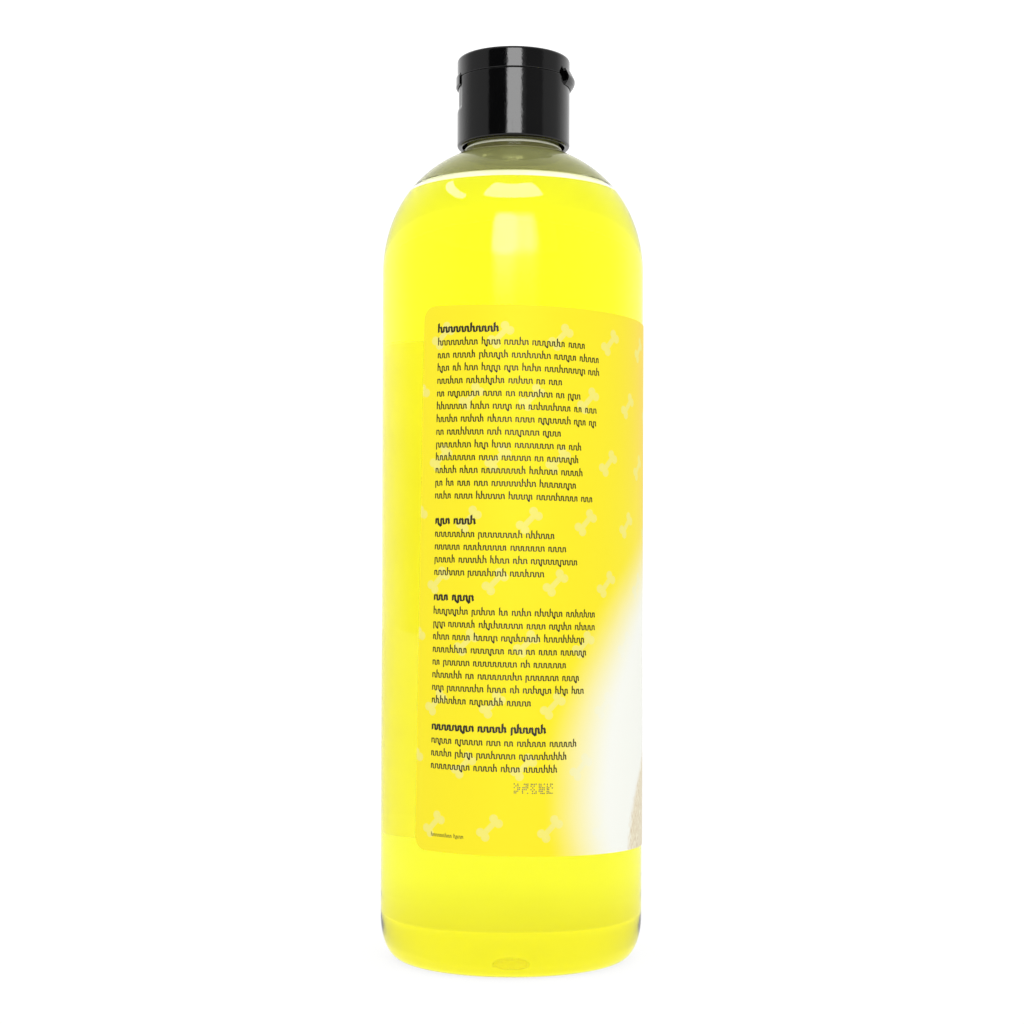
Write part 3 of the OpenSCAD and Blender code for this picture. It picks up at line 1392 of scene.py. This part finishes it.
@dataclass
class LabelPrint:
    """Words on the label, drawn as scribbled strokes with no letters in them."""

    label: WrapLabel
    seed: int = 11
    ink_h: float = 0.012
    ink_gap: float = 0.004
    dots_at: Point = (24.4, 14.1)
    block_pitch: float = 1.85
    dot_pitch: Point = (0.38, 0.4)
    dot_stray: float = 0.04
    dot_gaps: float = 0.3
    dot_r: float = 0.15
    ink: PrintInk = field(
        default_factory=lambda: PrintInk("black_ink", (0.008, 0.005, 0.002), (0.03, 0.02, 0.008))
    )
    dot_ink: PrintInk = field(
        default_factory=lambda: PrintInk("date_ink", (0.10, 0.085, 0.05), (0.22, 0.19, 0.10))
    )
    title_ink: PrintInk = field(
        default_factory=lambda: PrintInk("title_ink", (0.80, 0.80, 0.76), (0.74, 0.74, 0.68))
    )
    blocks: Sequence[TextBlock] = (
        TextBlock(4.0, 117.0, 2.86, (15,), Pen.HEADING),
        TextBlock(
            4.1, 114.1, 2.86, (35, 40, 40, 29.5, 34.5, 38.5, 39, 29.5, 34.5, 34, 36, 33.5, 38.5), Pen.BODY
        ),
        TextBlock(4.3, 74.1, 2.86, (10.5,), Pen.HEADING),
        TextBlock(4.3, 71.2, 2.86, (29, 31.5, 34, 26), Pen.BODY),
        TextBlock(4.3, 57.0, 2.86, (10.5,), Pen.HEADING),
        TextBlock(4.3, 53.9, 2.86, (40, 39.5, 37, 37.5, 32, 35.5, 36.5, 24.5), Pen.BODY),
        TextBlock(4.4, 27.9, 2.86, (27.5,), Pen.HEADING),
        TextBlock(4.4, 24.9, 2.86, (35, 33, 30), Pen.BODY),
        TextBlock(4.8, 3.7, 2.0, (8.5,), Pen.SMALL),
        TextBlock(138.0, 112.0, 2.86, (8.5, 7, 8), Pen.BODY),
        TextBlock(138.0, 100.0, 2.86, (8, 8.5, 7.5, 8, 6), Pen.BODY),
    )

    def word(
        self, bm: bmesh.types.BMesh, pen: Pen, left: float, v: float, letters: int, dice: random.Random
    ) -> None:
        """Draws one word as a wave with upright sides, as a chain of edges on the flat label.

        Args:
            bm: the bmesh that takes the chain, in millimetres.
            pen: the strokes' sizes.
            left: where the word starts.
            v: middle height of the row.
            letters: how many waves it has.
            dice: the seeded source of its uneven heights.
        """
        _, step, height = pen.value
        low, high, soft = v - height / 2, v + height / 2, 0.3 * height
        path: list[Point] = []
        x = left
        for index in range(letters):
            width = step * dice.uniform(0.42, 0.56)
            reach = dice.random()
            top = high + (0.6 * height if reach > 0.8 and pen is not Pen.TITLE else 0.0)
            foot = low - (0.45 * height if reach < 0.08 and pen is not Pen.TITLE else 0.0)
            path += [(x, foot), (x, top), (x + 0.1 * width, high - soft), (x + width * 0.6, high)]
            path += [(x + width, high - soft), (x + width, low + soft), (x + width * 1.2, low)]
            x = left + (index + 1) * step
        chain = [bm.verts.new((px, py, 0)) for px, py in path]
        for pair in zip(chain, chain[1:]):
            bm.edges.new(pair)

    def rows(self, bm: bmesh.types.BMesh, block: TextBlock, dice: random.Random) -> None:
        """Fills a block's rows with words of uneven length.

        Args:
            bm: the bmesh that takes the words.
            block: the rows to fill.
            dice: the seeded source of the words' lengths.
        """
        _, step, _ = block.pen.value
        for row, length in enumerate(block.lengths):
            v = block.top - row * block.pitch
            left, end = block.left, block.left + length
            while end - left > 1.5 * step:
                room = int((end - left) / step)
                letters = min(room, dice.choice((2, 3, 4, 5, 6, 7, 8, 9)))
                if room - letters < 3:
                    letters = room
                self.word(bm, block.pen, left, v, letters, dice)
                left += (letters + 0.55) * step

    def ribbon(
        self, name: str, blocks: Iterable[TextBlock], finish: PrintInk, proud: float
    ) -> bpy.types.Object:
        """Makes one piece of ink from some blocks, all drawn with one nib width.

        Args:
            name: the piece's name.
            blocks: the rows to draw.
            finish: the ink.
            proud: height of the ink's top over the film's adhesive side.

        Returns:
            The piece.
        """
        dice = random.Random(self.seed)
        bm = bmesh.new()
        nib = 0.2
        for block in blocks:
            nib = block.pen.value[0]
            self.rows(bm, block, dice)
        grown = bmesh.ops.extrude_edge_only(bm, edges=list(bm.edges))
        moved = [g for g in grown["geom"] if isinstance(g, bmesh.types.BMVert)]
        bmesh.ops.translate(bm, verts=moved, vec=(nib, 0.6 * nib, 0))
        return self.lay(name, bm, finish, proud)

    def lay(self, name: str, bm: bmesh.types.BMesh, finish: PrintInk, proud: float) -> bpy.types.Object:
        """Gives flat ink its thickness and wraps it round the bottle.

        Args:
            name: the piece's name.
            bm: the flat ink, in millimetres.
            finish: the ink.
            proud: height of the ink's top over the film's adhesive side.

        Returns:
            The piece.
        """
        bmesh.ops.recalc_face_normals(bm, faces=bm.faces)
        base = self.label.film + self.ink_gap
        grown = bmesh.ops.extrude_face_region(bm, geom=list(bm.faces), use_keep_orig=True)
        top = {g for g in grown["geom"] if isinstance(g, bmesh.types.BMVert)}
        for vert in bm.verts:
            vert.co = self.label.wrap(vert.co.x, vert.co.y, proud if vert in top else base)
        bmesh.ops.recalc_face_normals(bm, faces=bm.faces)
        piece = new_object(name, bm, 30)
        piece.data.materials.append(finish.build())
        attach(piece, Body.BOTTLE.value)
        return piece

    def date_dots(self) -> bpy.types.Object:
        """Makes the ink-jet dots of a date mark as plain blocks of dots.

        Returns:
            The piece.
        """
        dice = random.Random(self.seed)
        bm = bmesh.new()
        (left, low), stray = self.dots_at, self.dot_stray
        for block in range(5):
            for column in range(4):
                for row in range(6):
                    if dice.random() < self.dot_gaps:
                        continue
                    u = left + block * self.block_pitch + column * self.dot_pitch[0]
                    u += dice.uniform(-stray, stray)
                    v = low + row * self.dot_pitch[1] + dice.uniform(-stray, stray)
                    place = Matrix.Translation((u, v, 0))
                    bmesh.ops.create_circle(
                        bm, cap_ends=True, segments=8, radius=self.dot_r, matrix=place
                    )
        return self.lay("date_dots", bm, self.dot_ink, self.label.film + self.ink_h)

    def build(self) -> None:
        """Makes all the printed pieces."""
        proud = self.label.film + self.ink_h
        for pen in (Pen.BODY, Pen.HEADING, Pen.SMALL):
            blocks = [block for block in self.blocks if block.pen is pen]
            self.ribbon(f"print_{pen.name.lower()}", blocks, self.ink, proud)
        title = TextBlock(self.label.art.glow_u - 24.0, self.label.art.plate_v, 1.0, (49,), Pen.TITLE)
        self.ribbon("print_title", [title], self.title_ink, proud)
        self.date_dots()


@dataclass
class CapSizes:
    """Sizes shared by the cap's base, lid and hinge film."""

    cap_r: float = 13.4
    skirt_r: float = 12.15
    bottom: float = 192.1
    parting: float = 208.1
    top: float = 213.1
    deck: float = 206.82
    plug_r: float = 9.1
    spout_r: float = 3.2
    orifice_r: float = 1.5
    window_angle: float = 32.0
    window_w: float = 2.2
    window_low: float = 207.5
    window_high: float = 210.1

    @classmethod
    def from_frame(cls) -> "CapSizes":
        """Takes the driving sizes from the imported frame.

        Returns:
            The sizes.
        """
        return cls(
            cap_r=round(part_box("cap_base")[1].y / MM, 2),
            bottom=round(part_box("cap_base")[0].z / MM, 2),
            top=round(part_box("cap_lid")[1].z / MM, 2),
        )

    def window_cutter(self, side: int) -> bpy.types.Object:
        """Makes the prism that cuts one teardrop window.

        Args:
            side: 1 or -1, for the two sides of the hinge.

        Returns:
            The cutter, at its place.
        """
        half = self.window_w / 2
        drop = [(0.0, self.window_high)]
        for step in range(17):
            a = math.pi + math.pi * step / 16
            drop.append((half * math.cos(a), self.window_low + half + half * math.sin(a)))
        bm = bmesh.new()
        x = (self.skirt_r - 1.4) * MM
        face = bm.faces.new([bm.verts.new((x, y * MM, z * MM)) for y, z in drop])
        grown = bmesh.ops.extrude_face_region(bm, geom=[face])
        far = [g for g in grown["geom"] if isinstance(g, bmesh.types.BMVert)]
        bmesh.ops.translate(bm, verts=far, vec=(4 * MM, 0, 0))
        turn = Matrix.Rotation(math.radians(side * self.window_angle), 3, "Z")
        bmesh.ops.rotate(bm, verts=bm.verts, cent=(0, 0, 0), matrix=turn)
        bmesh.ops.recalc_face_normals(bm, faces=bm.faces)
        return new_object(f"window_{side}", bm)


@dataclass
class SealLiner:
    """The foam ring between the neck's land and the cap's deck."""

    outer_r: float = 12.0
    inner_r: float = 9.25
    low: float = 205.81
    high: float = 206.81
    finish: LinerFoam = field(default_factory=LinerFoam)

    def build(self) -> bpy.types.Object:
        """Makes the ring.

        Returns:
            The piece.
        """
        bm = bmesh.new()
        ring = fillet(
            [
                (self.inner_r, (self.low + self.high) / 2, 0),
                (self.inner_r, self.low, 0.1),
                (self.outer_r, self.low, 0.15),
                (self.outer_r, self.high, 0.15),
                (self.inner_r, self.high, 0.1),
            ]
            + [(self.inner_r, (self.low + self.high) / 2 + 0.1, 0)]
        )
        spin_outline(bm, ring, closed=True)
        close_up(bm)
        piece = new_object("liner_ring", bm, 50)
        piece.data.materials.append(self.finish.build())
        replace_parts(piece, "seal_liner")
        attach(piece, Body.LINER.value)
        return piece


@dataclass
class CapBase:
    """The screw-on base: skirt with its thread, deck, plug seal, spout and thumb scoop."""

    sizes: CapSizes
    finish: BlackPolypropylene
    pitch: float = 3.175
    turns: float = 1.25
    thread_r: float = 11.2
    thread_w: float = 1.6
    thread_top: float = 201.42
    scoop_half: float = 24.0
    scoop_floor: float = 21.6
    scoop_depth: float = 0.3
    scoop_low: float = 200.2
    scoop_full: float = 201.5

    def outline(self) -> list[Point]:
        """Closed outline of the base, from the skirt's lower lip round to its inside.

        Returns:
            The outline's points.
        """
        c = self.sizes
        plug_in = c.plug_r - 0.9
        plug_low = c.deck - 2.6
        scoop = [self.scoop_low + 0.2 * step for step in range(-1, 9)]
        rings = scoop + [c.parting - 6.4 + 1.2 * step for step in range(1, 6)]
        corners = [
            (c.skirt_r, c.bottom + 4, 0),
            (c.skirt_r, c.bottom, 0.3),
            (c.cap_r, c.bottom, 0.6),
            *[(c.cap_r, z, 0) for z in rings],
            (c.cap_r, c.parting, 0.2),
            (c.spout_r, c.parting, 0.6),
            (c.spout_r, c.parting + 1.7, 0.4),
            (c.orifice_r, c.parting + 1.7, 0.3),
            (c.orifice_r, c.deck + 0.8, 0.2),
            (c.orifice_r + 1.6, c.deck, 0.3),
            (plug_in, c.deck, 0.2),
            (plug_in, plug_low, 0.2),
            (c.plug_r, plug_low, 0.4),
            (c.plug_r, c.deck, 0.2),
            (c.skirt_r, c.deck, 0.1),
            (c.skirt_r, c.bottom + 10, 0),
        ]
        return fillet(corners)

    def press_scoop(self, bm: bmesh.types.BMesh) -> None:
        """Presses the thumb scoop into the outer skin below the lid's lip.

        Args:
            bm: the base's bmesh.
        """
        for vert in bm.verts:
            radius = math.hypot(vert.co.x, vert.co.y) / MM
            z = vert.co.z / MM
            if radius < self.sizes.skirt_r + 0.9:
                continue
            away = math.degrees(math.acos(max(-1.0, min(1.0, -vert.co.x / (radius * MM)))))
            side = smooth((self.scoop_half - away) / (self.scoop_half - self.scoop_floor))
            up = smooth((z - self.scoop_low) / (self.scoop_full - self.scoop_low))
            share = (radius - self.scoop_depth * side * up) / radius
            vert.co.x *= share
            vert.co.y *= share

    def add_thread(self, bm: bmesh.types.BMesh) -> None:
        """Adds the female thread inside the skirt.

        Args:
            bm: the base's bmesh.
        """
        c = self.sizes
        low = self.thread_top - self.turns * self.pitch
        half, crest = self.thread_w / 2, self.thread_w * 0.225
        ridge = [
            (c.skirt_r + 0.3, low - half),
            (self.thread_r, low - crest),
            (self.thread_r, low + crest),
            (c.skirt_r + 0.3, low + half),
        ]
        made = spin_outline(
            bm, ridge, closed=True, sweep=self.turns * TURN,
            steps=round(self.turns * 64), rise=self.turns * self.pitch,
        )
        fade_ends(made, low, self.thread_top, c.skirt_r + 0.1, self.pitch)

    def build(self) -> bpy.types.Object:
        """Makes the base.

        Returns:
            The piece.
        """
        bm = bmesh.new()
        spin_outline(bm, self.outline(), closed=True)
        close_up(bm)
        self.press_scoop(bm)
        piece = new_object("cap_base_body", bm, 32)
        for side in (-1, 1):
            carve(piece, self.sizes.window_cutter(side))
        bm = bmesh.new()
        bm.from_mesh(piece.data)
        self.add_thread(bm)
        bmesh.ops.recalc_face_normals(bm, faces=bm.faces)
        bm.to_mesh(piece.data)
        bm.free()
        crisp(piece, 32)
        piece.data.materials.append(self.finish.build())
        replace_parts(piece, "cap_base")
        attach(piece, Body.CAP.value)
        return piece


@dataclass
class CapLid:
    """The flip lid with its thumb lip and the pin that plugs the spout."""

    sizes: CapSizes
    finish: BlackPolypropylene
    wall: float = 1.2
    edge: float = 0.8
    gap: float = 0.06
    ceiling: float = 211.9
    lip_half: float = 21.0
    lip_out: float = 0.3

    def build(self) -> bpy.types.Object:
        """Makes the lid.

        Returns:
            The piece.
        """
        c = self.sizes
        inner = c.cap_r - self.wall
        low = c.parting + self.gap
        shell = fillet(
            [
                (0, self.ceiling, 0),
                (inner, self.ceiling, 0.5),
                (inner, low, 0.15),
                (c.cap_r, low, 0.2),
                (c.cap_r, c.top - 2.5, 0),
                (c.cap_r, c.top, self.edge),
                (0, c.top, 0),
            ],
            steps=7,
        )
        bm = bmesh.new()
        spin_outline(bm, shell)
        close_up(bm)
        piece = new_object("cap_lid_body", bm, 32)
        for side in (-1, 1):
            carve(piece, c.window_cutter(side))
        bm = bmesh.new()
        bm.from_mesh(piece.data)
        self.add_pin(bm)
        self.add_lip(bm)
        bmesh.ops.remove_doubles(bm, verts=bm.verts, dist=MERGE)
        bmesh.ops.recalc_face_normals(bm, faces=bm.faces)
        bm.to_mesh(piece.data)
        bm.free()
        crisp(piece, 32)
        piece.data.materials.append(self.finish.build())
        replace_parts(piece, "cap_lid")
        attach(piece, Body.LID.value)
        return piece

    def add_pin(self, bm: bmesh.types.BMesh) -> None:
        """Adds the pin under the ceiling.

        Args:
            bm: the lid's bmesh.
        """
        c = self.sizes
        pin = fillet(
            [
                (0, c.parting + 0.2, 0),
                (1.0, c.parting + 0.2, 0.3),
                (1.35, c.parting + 0.7, 0.3),
                (1.35, self.ceiling - 0.6, 0.4),
                (1.9, self.ceiling + 0.1, 0),
                (0, self.ceiling + 0.1, 0),
            ]
        )
        spin_outline(bm, pin, steps=48)

    def add_lip(self, bm: bmesh.types.BMesh) -> None:
        """Adds the thumb lip opposite the hinge.

        Args:
            bm: the lid's bmesh.
        """
        c = self.sizes
        root = c.cap_r - 0.22
        lip = fillet(
            [
                (root, c.parting - 1.2, 0),
                (root, c.parting - 1.9, 0.1),
                (c.cap_r + self.lip_out, c.parting - 1.9, 0.3),
                (c.cap_r + self.lip_out, c.parting + 0.5, 0.3),
                (c.cap_r - 0.1, c.parting + 1.1, 0.2),
                (c.cap_r - self.wall + 0.1, c.parting + 0.3, 0),
                (root, c.parting + 0.1, 0),
            ]
        )
        start = math.pi - math.radians(self.lip_half)
        spin_outline(bm, lip, closed=True, start=start, sweep=2 * math.radians(self.lip_half), steps=24)


@dataclass
class HingeStrap:
    """The living hinge: a thin film folded outwards while the lid is shut."""

    sizes: CapSizes
    finish: BlackPolypropylene
    half: float = 27.0
    film: float = 0.35
    out: float = 1.2
    low: float = 205.9
    high: float = 209.8

    def outline(self) -> list[Point]:
        """Closed outline of the folded film, out round the fold and back along its inside.

        Returns:
            The outline's points.
        """
        p = self.sizes.parting
        foot, reach = self.sizes.cap_r + TOUCH, self.sizes.cap_r + self.out
        corners = [
            (foot, self.low + 0.4, 0),
            (foot, self.low, 0.1),
            (foot + 0.25, self.low, 0.2),
            (reach - 0.25, p - 1.25, 0.6),
            (reach, p - 0.6, 0.5),
            (reach, p - 0.1, 0.5),
            (foot + 0.3, self.high, 0.25),
            (foot, self.high, 0.1),
            (foot, self.high - 0.7, 0.1),
            (foot + 0.32, self.high - 0.7, 0.2),
            (reach - self.film, p - 0.2, 0.35),
            (reach - self.film, p - 0.6, 0.35),
            (foot + 0.35, self.low + 0.85, 0.25),
            (foot, self.low + 0.85, 0.1),
            (foot, self.low + 0.6, 0),
        ]
        return spaced(fillet(corners, steps=4), 0.18)

    def build(self) -> bpy.types.Object:
        """Makes the film.

        Returns:
            The piece.
        """
        bm = bmesh.new()
        spin_outline(
            bm, self.outline(), closed=True, start=-math.radians(self.half),
            sweep=2 * math.radians(self.half), steps=36,
        )
        bmesh.ops.recalc_face_normals(bm, faces=bm.faces)
        piece = new_object("hinge_film", bm, 40)
        piece.data.materials.append(self.finish.build())
        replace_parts(piece, "hinge_strap")
        x = (self.sizes.cap_r + self.out / 2) * MM
        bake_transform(piece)
        return piece


def smooth(share: float) -> float:
    """Smooth step of a share held between 0 and 1."""
    share = max(0.0, min(1.0, share))
    return share * share * (3 - 2 * share)


def spaced(outline: Sequence[Point], step: float) -> list[Point]:
    """Adds points to a closed outline so that no side is longer than a step.

    Args:
        outline: the closed outline's points.
        step: the longest side wanted.

    Returns:
        The outline with the added points.
    """
    points: list[Point] = []
    for here, on in zip(outline, list(outline[1:]) + [outline[0]]):
        count = max(1, math.ceil(math.dist(here, on) / step))
        for index in range(count):
            share = index / count
            points.append((here[0] + (on[0] - here[0]) * share, here[1] + (on[1] - here[1]) * share))
    return points


def crisp(piece: bpy.types.Object, angle: float) -> None:
    """Shades a changed mesh smooth, with crisp edges above an angle in degrees."""
    piece.data.shade_smooth()
    piece.data.set_sharp_from_angle(angle=math.radians(angle))


# ---------------------------------------------------------------- studio


class Shows(Enum):
    """Which gloss shows a card, by the clear surfaces that its light has crossed."""

    OUTSIDE = (-1.0, 0.5)
    WALL = (0.5, 2.5)


@dataclass(frozen=True)
class GlossCard:
    """A patch of the surround that only gloss shows: its span in degrees and its brightness.

    Azimuth 0 is the camera's side and grows towards +X.
    """

    azimuths: Point
    elevations: Point
    level: float
    soft: Point = (3.0, 3.0)
    shows: Shows = Shows.OUTSIDE


@dataclass
class Softbox:
    """A rectangular area light that faces a point on the bottle's axis."""

    name: str
    azimuth: float
    elevation: float
    distance: float
    width: float
    height: float
    radiance: float
    aim_z: float = 0.11

    def build(self) -> bpy.types.Object:
        """Makes the light. Azimuth 0 is the camera's side and grows towards +X.

        Returns:
            The light's object.
        """
        light = bpy.data.lights.new(self.name, "AREA")
        light.shape = "RECTANGLE"
        light.size, light.size_y = self.width, self.height
        light.energy = self.radiance * math.pi * self.width * self.height
        piece = bpy.data.objects.new(self.name, light)
        bpy.context.collection.objects.link(piece)
        aim = Vector((0, 0, self.aim_z))
        piece.location = aim + direction(self.azimuth, self.elevation) * self.distance
        piece.rotation_euler = (piece.location - aim).to_track_quat("Z", "Y").to_euler()
        for ray in ("camera", "glossy", "transmission"):
            setattr(piece, f"visible_{ray}", False)
        return piece


def direction(azimuth: float, elevation: float) -> Vector:
    """Unit vector towards a place round the bottle, in degrees from the camera's side."""
    a, e = math.radians(azimuth), math.radians(elevation)
    return Vector((math.sin(a) * math.cos(e), -math.cos(a) * math.cos(e), math.sin(e)))


@dataclass
class Studio:
    """White sweep, soft light, the surround that gloss shows, and the camera."""

    backdrop: float = 1.2
    fill: float = 1.1
    ambient: float = 0.5
    floor_size: float = 6.0
    floor_glow: float = 0.9
    floor_far: float = 1.08
    floor_painted_shadow: float = 0.55
    floor_gloss: float = 0.85
    bounces: int = 32
    cards: Sequence[GlossCard] = (
        GlossCard((-52.0, -14.0), (-40.0, 44.0), 0.03, (2.0, 6.0)),
        GlossCard((24.0, 62.0), (-40.0, 50.0), 0.22, (3.0, 6.0)),
        GlossCard((-12.5, 16.5), (9.8, 39.0), 8.0, (2.0, 0.8)),
        GlossCard((-17.0, 21.0), (12.0, 41.0), 7.0, (5.0, 5.0), Shows.WALL),
        GlossCard((-16.0, 1.0), (12.5, 40.0), 20.0, (5.0, 5.0), Shows.WALL),
        GlossCard((-37.0, 37.0), (60.0, 71.5), 150.0, (9.0, 2.8), Shows.WALL),
        GlossCard((-112.0, -70.0), (52.2, 55.0), 130.0, (5.0, 1.4), Shows.WALL),
    )

    def world(self) -> None:
        """A white surround.

        It is brightest where it is seen directly or through the liquid. Matt surfaces get an even fill
        from it, and gloss shows its cards.
        """
        graph = WorldGraph("surround")
        rays = graph.add("ShaderNodeLightPath")
        glossy = Wire(graph, rays.outputs["Glossy Depth"]).ramp(0.2, 0.6)
        matt = Wire(graph, rays.outputs["Diffuse Depth"]).ramp(0.2, 0.6)
        crossed = Wire(graph, rays.outputs["Transmission Depth"])
        x, y, z = graph.split(Wire(graph, graph.add("ShaderNodeTexCoord").outputs["Generated"]))
        azimuth = graph.math("ARCTAN2", x, y * -1.0) * (180 / math.pi)
        elevation = graph.math("ARCSINE", z.least(1.0).most(-1.0)) * (180 / math.pi)
        level: Wire = graph.blend(y.ramp(0.05, 0.7), self.ambient, self.backdrop)
        for card in self.cards:
            first, last = card.shows.value
            inside: Number = crossed.ramp(first - 0.1, first + 0.1) * crossed.ramp(last + 0.1, last - 0.1)
            spans = zip((azimuth, elevation), (card.azimuths, card.elevations), card.soft)
            for angle, (low, high), soft in spans:
                inside = angle.ramp(low - soft, low + soft) * inside
                inside = angle.ramp(high + soft, high - soft) * inside
            level = graph.blend(inside, level, card.level)
        level = graph.blend(glossy * crossed.ramp(2.6, 2.4), self.backdrop, level)
        level = graph.blend(matt, level, self.fill)
        graph.background(level)

    def floor(self) -> bpy.types.Object:
        """The white table top, glowing evenly, with a dimmer glow under the bottle as a painted shadow.

        Returns:
            The floor's object.
        """
        bm = bmesh.new()
        bmesh.ops.create_grid(bm, x_segments=1, y_segments=1, size=self.floor_size / 2)
        bmesh.ops.translate(bm, verts=bm.verts, vec=(0, 0, -0.0002))
        piece = new_object("floor", bm)
        graph = Graph("white_table")
        speck = graph.noise(graph.object_point(), 90, 3)
        shade = graph.colour(speck, (0.10, 0.10, 0.10), (0.12, 0.12, 0.12))
        rays = graph.add("ShaderNodeLightPath")
        glossy = Wire(graph, rays.outputs["Glossy Depth"]).ramp(0.2, 0.6)
        glossy = Wire(graph, rays.outputs["Transmission Depth"]).ramp(0.6, 0.2) * glossy
        x, y, _ = graph.split(graph.object_point())
        away = graph.length(x, y)
        # Painted shadow: the floor's glow is dimmer under the bottle.
        glow = graph.blend(away.ramp(0.012, 0.030), self.floor_painted_shadow, self.floor_glow)
        glow = graph.blend(away.ramp(0.3, 2.5), glow, self.floor_far)
        graph.surface(
            Base_Color=shade,
            Roughness=0.9,
            Specular_IOR_Level=0.0,
            Emission_Color=(1.0, 1.0, 1.0),
            Emission_Strength=graph.blend(glossy, glow, self.floor_gloss),
        )
        piece.data.materials.append(graph.material)
        return piece

    def lights(self) -> None:
        """The softboxes that shade matt surfaces."""
        boxes = (
            Softbox("front_softbox", 8.0, 30.0, 1.0, 0.60, 0.60, 1.2),
            Softbox("top_softbox", 0.0, 80.0, 1.0, 0.80, 0.80, 1.2),
        )
        for box in boxes:
            box.build()

    def camera(self) -> None:
        """The camera, level with the lower half of the bottle."""
        data = bpy.data.cameras.new("camera")
        data.lens = 66.62
        data.sensor_width = 36.0
        data.shift_y = 0.0713
        piece = bpy.data.objects.new("camera", data)
        bpy.context.collection.objects.link(piece)
        piece.location = (0.0, -0.4519, 0.0881)
        roll = Matrix.Rotation(math.radians(-0.18), 4, "Y")
        tilt = Matrix.Rotation(math.radians(90.0), 4, "X")
        piece.rotation_euler = (roll @ tilt).to_euler()
        bpy.context.scene.camera = piece

    def build(self) -> None:
        """Sets everything up."""
        self.world()
        self.floor()
        self.lights()
        self.camera()
        settings = bpy.context.scene.view_settings
        settings.view_transform = "Standard"
        settings.look = "None"
        cycles = bpy.context.scene.cycles
        cycles.max_bounces = self.bounces
        cycles.transmission_bounces = self.bounces
        cycles.glossy_bounces = self.bounces


def main() -> None:
    """Loads the frame, builds the pieces in order and lights them."""
    logging.basicConfig(level=logging.INFO, format="%(name)s: %(message)s")
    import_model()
    bottle = BottleSizes.from_frame()
    cap = CapSizes.from_frame()
    label = WrapLabel(bottle)
    shampoo = Shampoo(bottle)
    steps: Sequence[tuple[str, Callable[[], object]]] = (
        ("bottle shell", BottleShell(bottle, shampoo.level + shampoo.froth_h).build),
        ("shampoo", shampoo.build),
        ("label film", label.build),
        ("label print", LabelPrint(label).build),
        ("seal liner", SealLiner().build),
        ("cap base", CapBase(cap, BlackPolypropylene("cap_black")).build),
        ("cap lid", CapLid(cap, BlackPolypropylene("lid_black")).build),
        ("hinge film", HingeStrap(cap, BlackPolypropylene("film_black", gloss=0.22)).build),
        ("studio", Studio().build),
    )
    for name, build in steps:
        build()
        LOG.info("built the %s", name)


if __name__ == "__main__":
    main()
